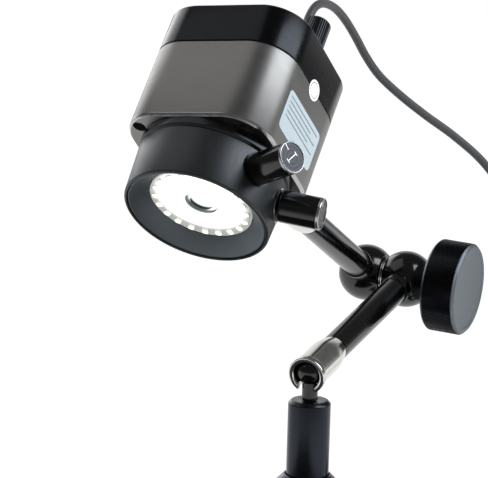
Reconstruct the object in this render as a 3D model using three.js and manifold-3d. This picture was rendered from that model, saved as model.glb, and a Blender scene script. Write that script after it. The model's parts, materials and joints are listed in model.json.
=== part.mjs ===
// A desk inspection microscope: a square camera head with a lit barrel, on a ball-jointed two-rod arm
// that stands on a flat base plate, with its USB lead. Millimetres, +Z up, +Y away from the user.
// The origin is on the table, under the middle of the base plate.

import * as THREE from 'three';
import { mergeVertices } from 'three/addons/utils/BufferGeometryUtils.js';
import Module from 'manifold-3d';

// Fits that the whole product shares
const gap = 0.3;
const overrun = 1;

// Number of facets on large, middling, small and tiny round forms
const wideSides = 32;
const roundSides = 20;
const smallSides = 14;
const tinySides = 10;
const cornerSteps = 4;
const ballSteps = 5;
const dishSteps = 3;

// Base plate on its anti-slip mat
const plateWidth = 145;
const plateDepth = 210;
const plateThickness = 8;
const plateCorner = 8;
const plateChamfer = 1;
const matThickness = 1.5;
const matInset = 4;
const postSetback = 30;

// Post, its foot and the screw that holds it from below
const postRadius = 8.05;
const postHeight = 52.7;
const postChamfer = 1.2;
const footRadius = 13;
const footHeight = 24;
const footLip = 0.6;
const screwRadius = 3;
const screwReach = 14;
const screwHeadRadius = 5.8;
const screwSocketRadius = 2;
const screwSocketDepth = 1.6;

// Ball studs
const ballRadius = 5.2;
const ballHeight = 10.9;
const postNeckRadius = 3;
const stubRadius = 2.5;
const stubLength = 10;
const headNeckRadius = 2.75;
const headNeckLength = 9.5;
const shoulderRadius = 6;
const shoulderChamfer = 0.8;
const headStubRadius = 3;
const headStubLength = 6;

// Slotted cup at the ball end of each rod, measured from the ball centre along the rod
const mouthReach = 4.4;
const mouthRadius = 5.5;
const lipRadius = 7.3;
const lipWidth = 2.8;
const retainRadius = 4.9;
const retainReach = 3;
const retainSlope = 1.2;
const cupRadius = 6.6;
const cupStraight = 12;
const cupLength = 21.3;
const cupSocketDepth = 8;
const slotSlack = 0.5;
const slotEnd = 4.2;

// Rod tubes and the push rods inside them
const rodLength = 95.8;
const rodRadius = 5.4;
const spigotRadius = 4.2;
const pushRodRadius = 2.9;

// Hubs, washers, bolt and clamp knob
const hubRadius = 11.3;
const hubInnerFlat = 7.5;
const hubOuterFlat = 10.3;
const hubBossRadius = 6.9;
const hubBossReach = 13.5;
const hubSocketReach = 8;
const washerRadius = 7.2;
const washerThickness = 0.6;
const boltRadius = 3;
const boltHeadRadius = 5.5;
const boltHeadHeight = 3.6;
const boltSocketRadius = 2.4;
const boltSocketDepth = 2.2;
const clampRadius = 18.4;
const clampThickness = 14.3;
const clampStandoff = 2.3;
const clampBossRadius = 8;
const clampChamfer = 1.1;
const clampFaceThickness = 2.6;
const clampTeeth = 60;
const knurlDepth = 0.4;

// Pose of the arm and the head in the photograph, in degrees
const swivelAngle = -0.6;
const lowerRise = 10.8;
const rodTwist = 3;
const elbowFold = -37;
const headTilt = -18.9;
const headLean = -9.1;
const headRoll = -3;

// Camera head: a square body and its cap, in a frame at the middle of the body's underside
const headWidth = 57.4;
const headCorner = 15.5;
const bodyHeight = 33.6;
const capHeight = 17.4;
const bodyWall = 3;
const bodyFloor = 4;
const floorOpening = 17;
const capWall = 2.4;
const capChamfer = 1;
const pillarCut = 26.5;
const ledgeWidth = 3.3;
const ledgeThickness = 1.5;
const panelThickness = 1.2;
const panelInset = 2;
const studDistance = 54.2;
const studHeight = 22.3;

// Screws that hold the head together from below
const bodyScrewPlace = 21.7;
const bodyScrewRadius = 1.3;
const bodyScrewHeadRadius = 2.3;
const bodyScrewHeadHeight = 2;
const bodyScrewSunk = 4;
const bodyScrewBite = 4;

// Barrel, its mount ring and the light hood; depths are measured down from the body's underside
const mountRadius = 28.3;
const mountThickness = 3.6;
const mountChamfer = 0.8;
const spigotDrop = 4;
const spigotWall = 3;
const barrelTopRadius = 27.95;
const barrelRimRadius = 27;
const barrelRim = 23.7;
const barrelBore = 25.9;
const rimBevel = 0.6;
const hoodSunk = 0.6;
const hoodMouth = 25;
const ledDepth = 17.8;
const ledRadius = 19.1;
const ledThickness = 1.2;
const ledHole = 6.4;
const beadCount = 20;
const beadSize = 2.4;
const beadHeight = 0.7;
const beadCircle = 16.9;
const shelfThickness = 1.1;

// Guide tube and the two carriages that slide in it
const guideBore = 12;
const guideWall = 1.5;
const guideEnd = 15.9;
const guideFlangeRadius = 16.4;
const guideFlangeThickness = 1.5;
const carriageBore = 6.4;
const focusRingLow = 14.4;
const focusRingHeight = 2.5;
const zoomRingLow = 7.4;
const zoomRingHeight = 2.5;
const rackWidth = 2;
const rackThickness = 2;
const rackArmHeight = 1.2;
const rackMargin = 0.3;
const rackFaceOffset = 0.3;
const cellWall = 1.2;
const cellFront = 17.4;
const cellLip = 0.6;
const frontLensThickness = 2.4;
const rearLensThickness = 1.8;
const lensRise = 0.5;

// Focus and zoom knobs on their shafts; an azimuth of zero points along +X
const focusAzimuth = -23.5;
const focusShaftDepth = 10.2;
const zoomAzimuth = 16.9;
const zoomShaftDepth = 12.07;
const sideKnobRadius = 5.8;
const sideKnobBase = 28.2;
const focusKnobEnd = 45.8;
const zoomKnobEnd = 43.6;
const sideKnobRim = 0.9;
const sideKnobDish = 0.5;
const sideKnobFace = 3;
const shaftRadius = 2;
const drivePitchRadius = 2;
const driveTurn = 55;

// Circuit boards; the main board's underside lies this deep below the top of the head
const boardThickness = 1.6;
const mainBoardDepth = 9.9;
const sensorBoardHeight = 8;
const sensorBoardWidth = 38;
const sensorBoardCorner = 3;
const standoffPlace = 15;
const standoffRadius = 2;
const sensorChipWidth = 10;
const sensorChipDepth = 8;
const sensorChipHeight = 1.2;

// What stands in the top panel, placed from the panel's middle
const usbPlace = [5.1, 15.2];
const usbWidth = 9.4;
const usbDepth = 3.7;
const usbWall = 0.3;
const usbCavityDepth = 6.5;
const socketSunk = 0.1;
const hdmiPlace = [-10.9, 15.6];
const hdmiWidth = 11.2;
const hdmiDepth = 3.6;
const hdmiWall = 0.45;
const hdmiCavityDepth = 5.5;
const hdmiShoulder = 1.3;
const hdmiTongueWidth = 8.4;
const hdmiTongueThickness = 0.8;
const buttonPitch = 8;
const buttonRadius = 2.4;
const buttonProud = 1;
const buttonEdge = 0.3;
const buttonFlange = 0.7;
const buttonFlangeThickness = 0.8;
const buttonStemRadius = 1.5;
const buttonTravel = 0.6;
const tactWidth = 4.5;
const tactHeight = 1.7;
const dialPlace = [19.3, 1.5];
const dialRadius = 5;
const dialHeight = 15.2;
const dialTeeth = 28;
const dialKnurlDepth = 0.25;
const dialChamfer = 0.6;
const dialShaftRadius = 1.5;
const dialShaftReach = 5;
const potWidth = 8.4;
const potHeight = 3.5;
const jackPlace = [-11, -9.2];
const jackRadius = 3.2;
const jackFlangeRadius = 4;
const jackFlangeThickness = 0.6;
const jackBore = 1.9;
const jackBoreDepth = 6;
const switchPlace = [1, -13.5];
const switchSlotLength = 7;
const switchSlotWidth = 2.6;
const switchKeyLength = 2.2;
const switchKeyProud = 1.4;
const switchShoeLength = 4.4;
const switchShoeWidth = 3.2;
const switchShoeThickness = 0.6;
const switchRest = 2.1;
const switchBodyLength = 9;
const switchBodyWidth = 3.6;
const switchBodyHeight = 3;
const windowPlace = [11.6, -9.9];
const windowRadius = 1.3;
const windowFlange = 0.6;
const windowFlangeThickness = 0.7;
const windowDome = 0.3;

// USB-C plug on the head and USB-A plug on the far end
const plugWidth = 12.2;
const plugDepth = 6.8;
const plugCorner = 2.8;
const plugLength = 15.4;
const plugTongueWidth = 8.2;
const plugTongueDepth = 2.5;
const reliefLength = 10.3;
const reliefRadius = 3.1;
const reliefEndRadius = 2.2;
const farPlugWidth = 16;
const farPlugDepth = 8;
const farPlugLength = 22;
const farPlugCorner = 2;
const farShellWidth = 12;
const farShellDepth = 4.5;
const farShellLength = 12;
const farShellWall = 0.4;
const farTongueDepth = 1.9;
const farReliefLength = 9;

// The lead: where its free stretch runs, then its coil beside the base plate's back edge
const cordRadius = 1.65;
const cordSides = 8;
const cordSteps = 40;
const cordRoute = [
  [-14.5, 94.8, 200.8], [-14.5, 98.2, 204], [-14.5, 102.5, 206.3], [-14.4, 108, 207.1],
  [-14.3, 115, 206.1], [-14, 123, 203.2], [-13.4, 131, 198.2], [-12.4, 139.5, 190.8],
  [-11, 147, 182.8], [-8.4, 155, 174.6], [-3, 165, 165.8], [4, 176, 156.8],
  [12, 188, 147.5], [21, 199, 136], [28.5, 207, 122], [35, 211.5, 103],
  [41, 213, 81], [46, 212, 57], [50, 209, 33], [54, 206.5, 14],
  [58.5, 203.5, 4.8], [64, 197.5, 2.4], [68.6, 189, 2.2], [70.4, 178, 2.7],
  [70.5, 166.3, 2.95],
];
const coilCentre = [45, 161];
const coilMiddleRadius = 18;
const coilTurns = 7.25;
const coilLayers = 2;
const coilPitch = 4;
const loopSteps = 24;
const loopSides = 6;
const coilLead = 5;
const coilTail = 30;
const tailSteps = 6;
const tieThickness = 1;
const tieWidth = 7;
const tieCorner = 1.5;

// Sizes that follow from the ones above
const postPlace = [0, plateDepth / 2 - postSetback];
const plateTop = matThickness + plateThickness;
const postTop = plateTop + postHeight;
const lowerBallHeight = postTop + ballHeight;
const ballBore = ballRadius + gap;
const pushBore = pushRodRadius + gap;
const screwHole = screwRadius + gap;
const hubSpacing = 2 * hubInnerFlat + 2 * washerThickness + 3 * gap;
const boltHole = boltRadius + gap;
const boltSeatDepth = hubOuterFlat - boltHeadHeight - 2 * gap;
const slotWidth = 2 * (postNeckRadius + slotSlack);
const capBottom = bodyHeight + gap;
const headTop = bodyHeight + capHeight;
const panelBottom = headTop - panelThickness;
const ledgeTop = panelBottom - gap;
const ledgeBottom = ledgeTop - ledgeThickness;
const mainBoardHeight = headTop - mainBoardDepth;
const boardTop = mainBoardHeight + boardThickness;
const screwPlaces = [[1, 1], [-1, 1], [-1, -1], [1, -1]].map(
  ([x, y]) => [x * bodyScrewPlace, y * bodyScrewPlace]);
const mountTop = -gap;
const mountBottom = mountTop - mountThickness;
const barrelTop = mountBottom - gap;
const guideRadius = guideBore + guideWall;
const driveTravel = drivePitchRadius * THREE.MathUtils.degToRad(driveTurn);
const rackInner = guideRadius + gap + shaftRadius / 2;
const rackOuter = rackInner + rackWidth;
const rackFar = drivePitchRadius + rackFaceOffset + rackThickness;
const shelfBore = Math.hypot(rackOuter, rackFar) + gap;
const buttonPlaces = [[0, 0], [1, 0], [0, 1], [-1, 0], [0, -1]].map(
  ([x, y]) => [x * buttonPitch, y * buttonPitch]);

// Solids: closed meshes that manifold joins and cuts

const wasm = await Module();
wasm.setup();

function solid(geometry) {
  const bare = geometry.clone();
  bare.deleteAttribute('normal');
  bare.deleteAttribute('uv');
  const merged = mergeVertices(bare);
  const corners = merged.index.array;
  const faces = [];
  for (let i = 0; i < corners.length; i += 3) {
    const [a, b, c] = corners.slice(i, i + 3);
    if (a !== b && b !== c && c !== a) faces.push(a, b, c);
  }
  return new wasm.Manifold(new wasm.Mesh({
    numProp: 3,
    vertProperties: Float32Array.from(merged.attributes.position.array),
    triVerts: Uint32Array.from(faces),
  }));
}

function cut(body, ...tools) {
  return tools.reduce((left, tool) => left.subtract(solid(tool)), body);
}

function join(...geometries) {
  return geometries.map(solid).reduce((whole, next) => whole.add(next));
}

function geometryOf(body) {
  const mesh = body.getMesh();
  const geometry = new THREE.BufferGeometry();
  geometry.setAttribute('position', new THREE.BufferAttribute(mesh.vertProperties, 3));
  geometry.setIndex(new THREE.BufferAttribute(mesh.triVerts, 1));
  geometry.computeVertexNormals();
  return geometry;
}

// Forms: each is made upright, along +Z

function turned(profile, sides = roundSides) {
  const doubled = profile.reduce((sum, [r, h], i) => {
    const [nextR, nextH] = profile[(i + 1) % profile.length];
    return sum + r * nextH - nextR * h;
  }, 0);
  const ordered = doubled < 0 ? [...profile].reverse() : [...profile];
  const opensOnAxis = ordered[0][0] === 0 && ordered.at(-1)[0] === 0;
  if (!opensOnAxis) ordered.push(ordered[0]);
  const points = ordered.map(([r, h]) => new THREE.Vector2(r, h));
  return new THREE.LatheGeometry(points, sides).rotateX(Math.PI / 2);
}

function pin(radius, low, high, sides = smallSides) {
  return turned([[0, low], [radius, low], [radius, high], [0, high]], sides);
}

function prism(shape, low, high, steps = cornerSteps) {
  const depth = high - low;
  const options = { depth, bevelEnabled: false, curveSegments: steps };
  return new THREE.ExtrudeGeometry(shape, options).translate(0, 0, low);
}

function bevelledPrism(shape, low, high, bevel) {
  const options = {
    depth: high - low - 2 * bevel,
    bevelThickness: bevel,
    bevelSize: bevel,
    bevelOffset: -bevel,
    bevelSegments: 1,
    curveSegments: cornerSteps,
  };
  return new THREE.ExtrudeGeometry(shape, options).translate(0, 0, low + bevel);
}

function roundedRectangle(width, depth, corner) {
  const x = width / 2 - corner;
  const y = depth / 2 - corner;
  const shape = new THREE.Shape();
  shape.absarc(x, y, corner, 0, Math.PI / 2);
  shape.absarc(-x, y, corner, Math.PI / 2, Math.PI);
  shape.absarc(-x, -y, corner, Math.PI, 1.5 * Math.PI);
  shape.absarc(x, -y, corner, 1.5 * Math.PI, 2 * Math.PI);
  return shape;
}

function polygon(points) {
  return new THREE.Shape(points.map(([x, y]) => new THREE.Vector2(x, y)));
}

function regularPolygon(radius, sides) {
  return polygon(Array.from({ length: sides }, (_, i) => {
    const turn = (2 * Math.PI * i) / sides;
    return [radius * Math.cos(turn), radius * Math.sin(turn)];
  }));
}

function knurledOutline(radius, depth, teeth) {
  return polygon(Array.from({ length: 2 * teeth }, (_, i) => {
    const turn = (Math.PI * i) / teeth;
    const reach = i % 2 ? radius - depth : radius;
    return [reach * Math.cos(turn), reach * Math.sin(turn)];
  }));
}

function block(low, high) {
  const size = high.map((value, i) => value - low[i]);
  return new THREE.BoxGeometry(...size).translate(...low.map((value, i) => value + size[i] / 2));
}

function centredBlock(width, depth, low, high, [x, y] = [0, 0]) {
  return block([x - width / 2, y - depth / 2, low], [x + width / 2, y + depth / 2, high]);
}

function alongX(geometry) {
  return geometry.rotateY(Math.PI / 2);
}

function alongY(geometry) {
  return geometry.rotateX(-Math.PI / 2);
}

function at(geometry, [x, y, z = 0]) {
  return geometry.translate(x, y, z);
}

function arc(radius, fromAngle, toAngle, steps) {
  return Array.from({ length: steps + 1 }, (_, i) => {
    const turn = fromAngle + ((toAngle - fromAngle) * i) / steps;
    return [radius * Math.cos(turn), radius * Math.sin(turn)];
  });
}

// A tube round a list of level-ish points, with one ring of corners at each point and flat ends
function sweep(points, radius, sides) {
  const up = new THREE.Vector3(0, 0, 1);
  const last = points.length - 1;
  const corners = [];
  points.forEach((point, i) => {
    const before = points[Math.max(i - 1, 0)];
    const after = points[Math.min(i + 1, last)];
    const ahead = after.clone().sub(before).normalize();
    const across = ahead.clone().cross(up).normalize();
    const over = across.clone().cross(ahead);
    for (let k = 0; k < sides; k += 1) {
      const turn = (2 * Math.PI * (k + 0.5)) / sides;
      const corner = point.clone();
      corner.addScaledVector(across, radius * Math.cos(turn));
      corner.addScaledVector(over, radius * Math.sin(turn));
      corners.push(corner);
    }
  });
  const faces = [];
  for (let i = 0; i < last; i += 1) {
    for (let k = 0; k < sides; k += 1) {
      const a = i * sides + k;
      const b = i * sides + ((k + 1) % sides);
      faces.push(a, b + sides, b, a, a + sides, b + sides);
    }
  }
  const end = last * sides;
  for (let k = 1; k < sides - 1; k += 1) {
    faces.push(0, k, k + 1, end, end + k + 1, end + k);
  }
  const geometry = new THREE.BufferGeometry().setFromPoints(corners);
  geometry.setIndex(faces);
  geometry.computeVertexNormals();
  return geometry;
}

// Each piece is one named mesh with a material of its own
function piece(parent, name, form, [color, roughness, metalness]) {
  const geometry = form.isBufferGeometry ? form : geometryOf(form);
  const mesh = new THREE.Mesh(geometry, new THREE.MeshStandardMaterial({
    color, roughness, metalness,
  }));
  mesh.name = name;
  parent.add(mesh);
  return mesh;
}

// Finishes: colour, roughness, metalness
const blackSatin = [0x25272b, 0.45, 0.6];
const blackGloss = [0x0d0e10, 0.12, 0.6];
const blackPlastic = [0x1b1c1e, 0.4, 0];
const gunmetal = [0x6c7277, 0.35, 0.9];
const darkMetal = [0x33363a, 0.45, 0.8];
const steel = [0xb9bcc0, 0.25, 1];
const chrome = [0xd8dadd, 0.08, 1];
const rubber = [0x1a1a1a, 0.9, 0];
const cordRubber = [0x3a3b3d, 0.7, 0];
const boardGreen = [0x1f5136, 0.6, 0];
const ledWhite = [0xf6f6ee, 0.5, 0];
const clearGlass = [0xc9d4d8, 0.05, 0];
const hoodGrey = [0x3b444c, 0.5, 0.5];

// Stand

function buildStand(stand) {
  const plateOutline = roundedRectangle(plateWidth, plateDepth, plateCorner);
  const matOutline = roundedRectangle(
    plateWidth - 2 * matInset, plateDepth - 2 * matInset, plateCorner - matInset / 2);
  piece(stand, 'base_mat', prism(matOutline, 0, matThickness), rubber);

  const sinkRadius = screwHeadRadius + gap;
  const sinkDepth = sinkRadius - screwHole;
  const sink = turned([
    [0, matThickness - overrun], [sinkRadius, matThickness - overrun], [sinkRadius, matThickness + gap],
    [screwHole, matThickness + gap + sinkDepth], [screwHole, plateTop + overrun], [0, plateTop + overrun],
  ], smallSides);
  const plate = solid(bevelledPrism(plateOutline, matThickness, plateTop, plateChamfer));
  piece(stand, 'base_plate', cut(plate, at(sink, postPlace)), darkMetal);

  const footBore = postRadius + gap;
  const footTop = plateTop + footHeight;
  const coneDrop = footRadius - footBore - footLip;
  piece(stand, 'post_foot', at(turned([
    [footBore, plateTop], [footRadius, plateTop], [footRadius, footTop - coneDrop],
    [footBore + footLip, footTop], [footBore, footTop],
  ]), postPlace), blackSatin);

  const screwTop = plateTop + screwReach;
  const stubBottom = postTop - stubLength;
  piece(stand, 'post', at(turned([
    [screwHole, plateTop], [postRadius, plateTop], [postRadius, postTop - postChamfer],
    [postRadius - postChamfer, postTop], [stubRadius + gap, postTop], [stubRadius + gap, stubBottom - gap],
    [0, stubBottom - gap], [0, screwTop + gap], [screwHole, screwTop + gap],
  ]), postPlace), blackSatin);

  const headBottom = matThickness + gap;
  const screw = solid(turned([
    [0, headBottom], [screwHeadRadius, headBottom],
    [screwRadius, headBottom + screwHeadRadius - screwRadius], [screwRadius, screwTop], [0, screwTop],
  ], smallSides));
  const socket = prism(
    regularPolygon(screwSocketRadius, 6), headBottom - overrun, headBottom + screwSocketDepth);
  piece(stand, 'post_screw', cut(screw, socket).translate([...postPlace, 0]), steel);
}

// The stud's profile from its ball down: the ball is at the origin and the neck runs towards -Z
function ballTop(neckRadius) {
  const meets = -Math.acos(neckRadius / ballRadius);
  const upper = arc(ballRadius, meets, Math.PI / 2, ballSteps);
  upper[ballSteps] = [0, ballRadius];
  return upper;
}

function lowerBallStud() {
  const neckBottom = gap - ballHeight;
  const stubBottom = neckBottom - stubLength;
  return turned([
    [0, stubBottom], [stubRadius, stubBottom], [stubRadius, neckBottom], [postNeckRadius, neckBottom],
    ...ballTop(postNeckRadius),
  ], smallSides);
}

// Arm: both rods share one make-up, built from the ball at the origin to the hub along +Y

function cup() {
  const flareSteps = 5;
  const flare = Array.from({ length: flareSteps + 1 }, (_, i) => {
    const share = i / flareSteps;
    const drop = (cupRadius - rodRadius) * (1 - Math.cos((Math.PI / 2) * share));
    return [cupRadius - drop, cupStraight + (cupLength - cupStraight) * share];
  });
  const shell = solid(alongY(turned([
    [mouthRadius, -mouthReach], [lipRadius, -mouthReach], [lipRadius, lipWidth - mouthReach],
    [cupRadius, lipWidth - mouthReach], ...flare, [spigotRadius + gap, cupLength],
    [spigotRadius + gap, cupLength - cupSocketDepth], [pushBore, cupLength - cupSocketDepth],
    [pushBore, ballBore], [ballBore, ballBore], [ballBore, retainSlope - retainReach],
    [retainRadius, -retainReach],
  ], smallSides)));
  const slotMiddle = slotEnd - slotWidth / 2;
  const below = -lipRadius - overrun;
  const straight = block([-slotWidth / 2, -mouthReach - overrun, below], [slotWidth / 2, slotMiddle, 0]);
  const round = at(pin(slotWidth / 2, below, 0), [0, slotMiddle]);
  return cut(shell, straight, round);
}

function rodTube() {
  const shoulder = cupLength + gap;
  const spigotStart = shoulder - cupSocketDepth;
  const end = rodLength - hubSocketReach;
  return alongY(turned([
    [pushBore, spigotStart], [spigotRadius, spigotStart], [spigotRadius, shoulder],
    [rodRadius, shoulder], [rodRadius, end], [pushBore, end],
  ], smallSides));
}

function pushRod() {
  const seat = ballRadius + gap;
  const reach = Math.asin(pushRodRadius / seat);
  const dish = arc(seat, Math.PI / 2, Math.PI / 2 - reach, dishSteps);
  dish[0] = [0, seat];
  const tail = rodLength - boltRadius - 2 * gap;
  return alongY(turned([...dish, [pushRodRadius, tail], [0, tail]], smallSides));
}

// A ball-shaped hub with flats; the inner flat faces the other hub and side is the way it faces away.
// The rear hub takes the bolt's head in its outer flat.
function hub(side) {
  const ball = new THREE.SphereGeometry(hubRadius, roundSides, smallSides).rotateZ(Math.PI / 2);
  const boss = alongY(pin(hubBossRadius, -hubBossReach, 0, roundSides));
  const far = hubRadius + overrun;
  const wide = hubBossReach + overrun;
  const flats = [[-far, -hubInnerFlat], [hubOuterFlat, far]].map(([low, high]) => {
    const ends = side > 0 ? [low, high] : [-high, -low];
    return block([ends[0], -wide, -wide], [ends[1], wide, wide]);
  });
  const crossHole = alongX(pin(boltHole, -far, far));
  const boltSeat = side > 0 ? [] : [alongX(pin(boltHeadRadius + gap, -far, -boltSeatDepth))];
  const socket = alongY(pin(rodRadius + gap, -wide, -hubSocketReach + gap));
  const pushWay = alongY(pin(pushBore, -wide, 0));
  return cut(join(ball, boss), ...flats, crossHole, ...boltSeat, socket, pushWay)
    .translate([0, rodLength, 0]);
}

function washer(low) {
  return at(alongX(turned([
    [boltHole, low], [washerRadius, low], [washerRadius, low + washerThickness],
    [boltHole, low + washerThickness],
  ])), [0, rodLength]);
}

function hubBolt() {
  const seat = -hubSpacing - boltSeatDepth - gap;
  const back = seat - boltHeadHeight;
  const front = hubOuterFlat + clampStandoff + clampThickness - clampFaceThickness - gap;
  const crown = boltHeadRadius / 4;
  const bolt = solid(turned([
    [0, back], [boltHeadRadius - crown, back], [boltHeadRadius, back + crown], [boltHeadRadius, seat],
    [boltRadius, seat], [boltRadius, front], [0, front],
  ], smallSides));
  const socket = prism(regularPolygon(boltSocketRadius, 6), back - overrun, back + boltSocketDepth);
  return cut(bolt, socket).rotate([0, 90, 0]).translate([0, rodLength, 0]);
}

function clampKnob() {
  const back = hubOuterFlat + clampStandoff;
  const face = back + clampThickness;
  const bossEnd = hubOuterFlat + gap;
  const knurl = solid(prism(knurledOutline(clampRadius, knurlDepth, clampTeeth), back, face));
  const envelope = solid(turned([
    [0, back], [clampRadius - clampChamfer, back], [clampRadius, back + clampChamfer],
    [clampRadius, face - clampChamfer], [clampRadius - clampChamfer, face], [0, face],
  ], clampTeeth));
  const boss = pin(clampBossRadius, bossEnd, back + overrun, roundSides);
  const bore = pin(boltHole, bossEnd - overrun, face - clampFaceThickness);
  const knob = cut(knurl.intersect(envelope).add(solid(boss)), bore);
  return knob.rotate([0, 90, 0]).translate([0, rodLength, 0]);
}

function buildArm(arm, name, hubName, side) {
  piece(arm, `${name}_cup`, cup(), chrome);
  piece(arm, `${name}_rod`, rodTube(), blackGloss);
  piece(arm, `${name}_push_rod`, pushRod(), steel);
  piece(arm, hubName, hub(side), blackGloss);
}

// Camera head

function headStud() {
  const shoulderEnd = studDistance - headWidth / 2 - gap;
  const stubEnd = shoulderEnd + headStubLength;
  return alongY(turned([
    [0, -stubEnd], [headStubRadius, -stubEnd], [headStubRadius, -shoulderEnd],
    [shoulderRadius - shoulderChamfer, -shoulderEnd], [shoulderRadius, shoulderChamfer - shoulderEnd],
    [shoulderRadius, -headNeckLength - shoulderChamfer], [shoulderRadius - shoulderChamfer, -headNeckLength],
    [headNeckRadius, -headNeckLength], ...ballTop(headNeckRadius),
  ], roundSides));
}

function headOutline(inset) {
  return roundedRectangle(headWidth - 2 * inset, headWidth - 2 * inset, headCorner - inset);
}

function pillaredCavity(wall, low, high) {
  const room = solid(prism(headOutline(wall), low, high));
  return room.intersect(solid(pin(pillarCut, low - overrun, high + overrun, wideSides)));
}

function screwHoles(radius, low, high) {
  return screwPlaces.map((place) => at(pin(radius, low, high, tinySides), place));
}

function headBody() {
  const shell = solid(prism(headOutline(0), 0, bodyHeight))
    .subtract(pillaredCavity(bodyWall, bodyFloor, bodyHeight + overrun));
  const opening = pin(floorOpening, -overrun, bodyFloor + overrun, wideSides);
  const back = headWidth / 2;
  const studHole = at(
    alongY(pin(headStubRadius + gap, back - bodyWall - overrun, back + overrun)), [0, 0, studHeight]);
  const seat = bodyScrewSunk + bodyScrewHeadHeight + gap;
  return cut(
    shell, opening, studHole,
    ...screwHoles(bodyScrewHeadRadius + gap, -overrun, seat),
    ...screwHoles(bodyScrewRadius + gap, 0, bodyHeight + overrun));
}

function topCap() {
  const tall = solid(bevelledPrism(headOutline(0), bodyHeight - 2 * capChamfer, headTop, capChamfer));
  const trim = centredBlock(2 * headWidth, 2 * headWidth, 0, capBottom);
  const pillarBottom = boardTop + gap;
  const lowRoom = prism(headOutline(capWall), 0, pillarBottom);
  const highRoom = pillaredCavity(capWall, pillarBottom - overrun, ledgeBottom);
  const recess = prism(headOutline(panelInset - gap), ledgeTop, headTop + overrun);
  const mouth = prism(headOutline(panelInset - gap + ledgeWidth), ledgeBottom - overrun, headTop + overrun);
  const shell = cut(tall, trim, lowRoom, recess, mouth).subtract(highRoom);
  return cut(shell, ...screwHoles(bodyScrewRadius + gap, 0, pillarBottom + bodyScrewBite + gap));
}

function bodyScrew() {
  const low = bodyScrewSunk;
  const high = boardTop + gap + bodyScrewBite;
  const screw = solid(turned([
    [0, low], [bodyScrewHeadRadius, low], [bodyScrewHeadRadius, low + bodyScrewHeadHeight],
    [bodyScrewRadius, low + bodyScrewHeadHeight], [bodyScrewRadius, high], [0, high],
  ], tinySides));
  return cut(screw, prism(regularPolygon(bodyScrewHeadRadius / 2, 6), 0, low + bodyScrewHeadHeight / 2));
}

function stadium(width, depth) {
  return roundedRectangle(width, depth, depth / 2);
}

// The connector's outline has two slanting lower corners
function hdmiOutline(inset) {
  const x = hdmiWidth / 2 - inset;
  const y = hdmiDepth / 2 - inset;
  const slant = hdmiShoulder;
  return polygon([[x, y], [-x, y], [-x, slant - y], [slant - x, -y], [x - slant, -y], [x, slant - y]]);
}

function topPanel() {
  const low = panelBottom - overrun;
  const high = headTop + overrun;
  const sheet = solid(prism(headOutline(panelInset), panelBottom, headTop));
  const round = (radius, place) => at(pin(radius + gap, low, high, tinySides), place);
  const switchSlot = centredBlock(
    switchSlotLength + 2 * gap, switchSlotWidth, low, high, switchPlace);
  return cut(
    sheet,
    at(prism(stadium(usbWidth + 2 * gap, usbDepth + 2 * gap), low, high), usbPlace),
    at(prism(hdmiOutline(-gap), low, high), hdmiPlace),
    ...buttonPlaces.map((place) => round(buttonRadius, place)),
    round(dialShaftRadius, dialPlace),
    round(jackRadius, jackPlace),
    round(windowRadius, windowPlace),
    switchSlot);
}

function usbSocket() {
  const high = headTop - socketSunk;
  const inner = [usbWidth - 2 * usbWall, usbDepth - 2 * usbWall];
  const shell = solid(prism(stadium(usbWidth, usbDepth), boardTop + gap, high));
  return cut(shell, prism(stadium(...inner), high - usbCavityDepth, high + overrun));
}

function hdmiSocket() {
  const high = headTop - socketSunk;
  const shell = solid(prism(hdmiOutline(0), boardTop + gap, high));
  const hollow = cut(shell, prism(hdmiOutline(hdmiWall), high - hdmiCavityDepth, high + overrun));
  const tongue = centredBlock(
    hdmiTongueWidth, hdmiTongueThickness, high - hdmiCavityDepth - overrun, high - hdmiWall);
  return hollow.add(solid(tongue));
}

function pushButton() {
  const high = headTop + buttonProud;
  const flangeTop = panelBottom - gap;
  const flangeRadius = buttonRadius + buttonFlange;
  const low = boardTop + tactHeight + gap + buttonTravel;
  return turned([
    [0, low], [buttonStemRadius, low], [buttonStemRadius, flangeTop - buttonFlangeThickness],
    [flangeRadius, flangeTop - buttonFlangeThickness], [flangeRadius, flangeTop], [buttonRadius, flangeTop],
    [buttonRadius, high - buttonEdge], [buttonRadius - buttonEdge, high], [0, high],
  ], tinySides);
}

function brightnessKnob() {
  const low = headTop + gap;
  const high = headTop + dialHeight;
  const knurl = solid(prism(knurledOutline(dialRadius, dialKnurlDepth, dialTeeth), low, high));
  const envelope = solid(turned([
    [0, low], [dialRadius, low], [dialRadius, high - dialChamfer], [dialRadius - dialChamfer, high],
    [0, high],
  ], wideSides));
  const bore = pin(dialShaftRadius + gap, low - overrun, headTop + dialShaftReach + gap);
  return cut(knurl.intersect(envelope), bore);
}

function roundJack() {
  const seat = headTop + gap;
  const high = seat + jackFlangeThickness;
  return turned([
    [0, boardTop + gap], [jackRadius, boardTop + gap], [jackRadius, seat], [jackFlangeRadius, seat],
    [jackFlangeRadius, high], [jackBore, high], [jackBore, high - jackBoreDepth], [0, high - jackBoreDepth],
  ], smallSides);
}

function slideSwitch() {
  const shoeTop = panelBottom - gap;
  const shoeBottom = shoeTop - switchShoeThickness;
  const keyWidth = switchSlotWidth - 2 * gap;
  const stemBottom = boardTop + switchBodyHeight + gap;
  return join(
    centredBlock(switchShoeLength, switchShoeWidth, shoeBottom, shoeTop),
    centredBlock(switchKeyLength, keyWidth, shoeBottom, headTop + switchKeyProud),
    centredBlock(keyWidth, keyWidth, stemBottom, shoeBottom + gap));
}

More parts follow.
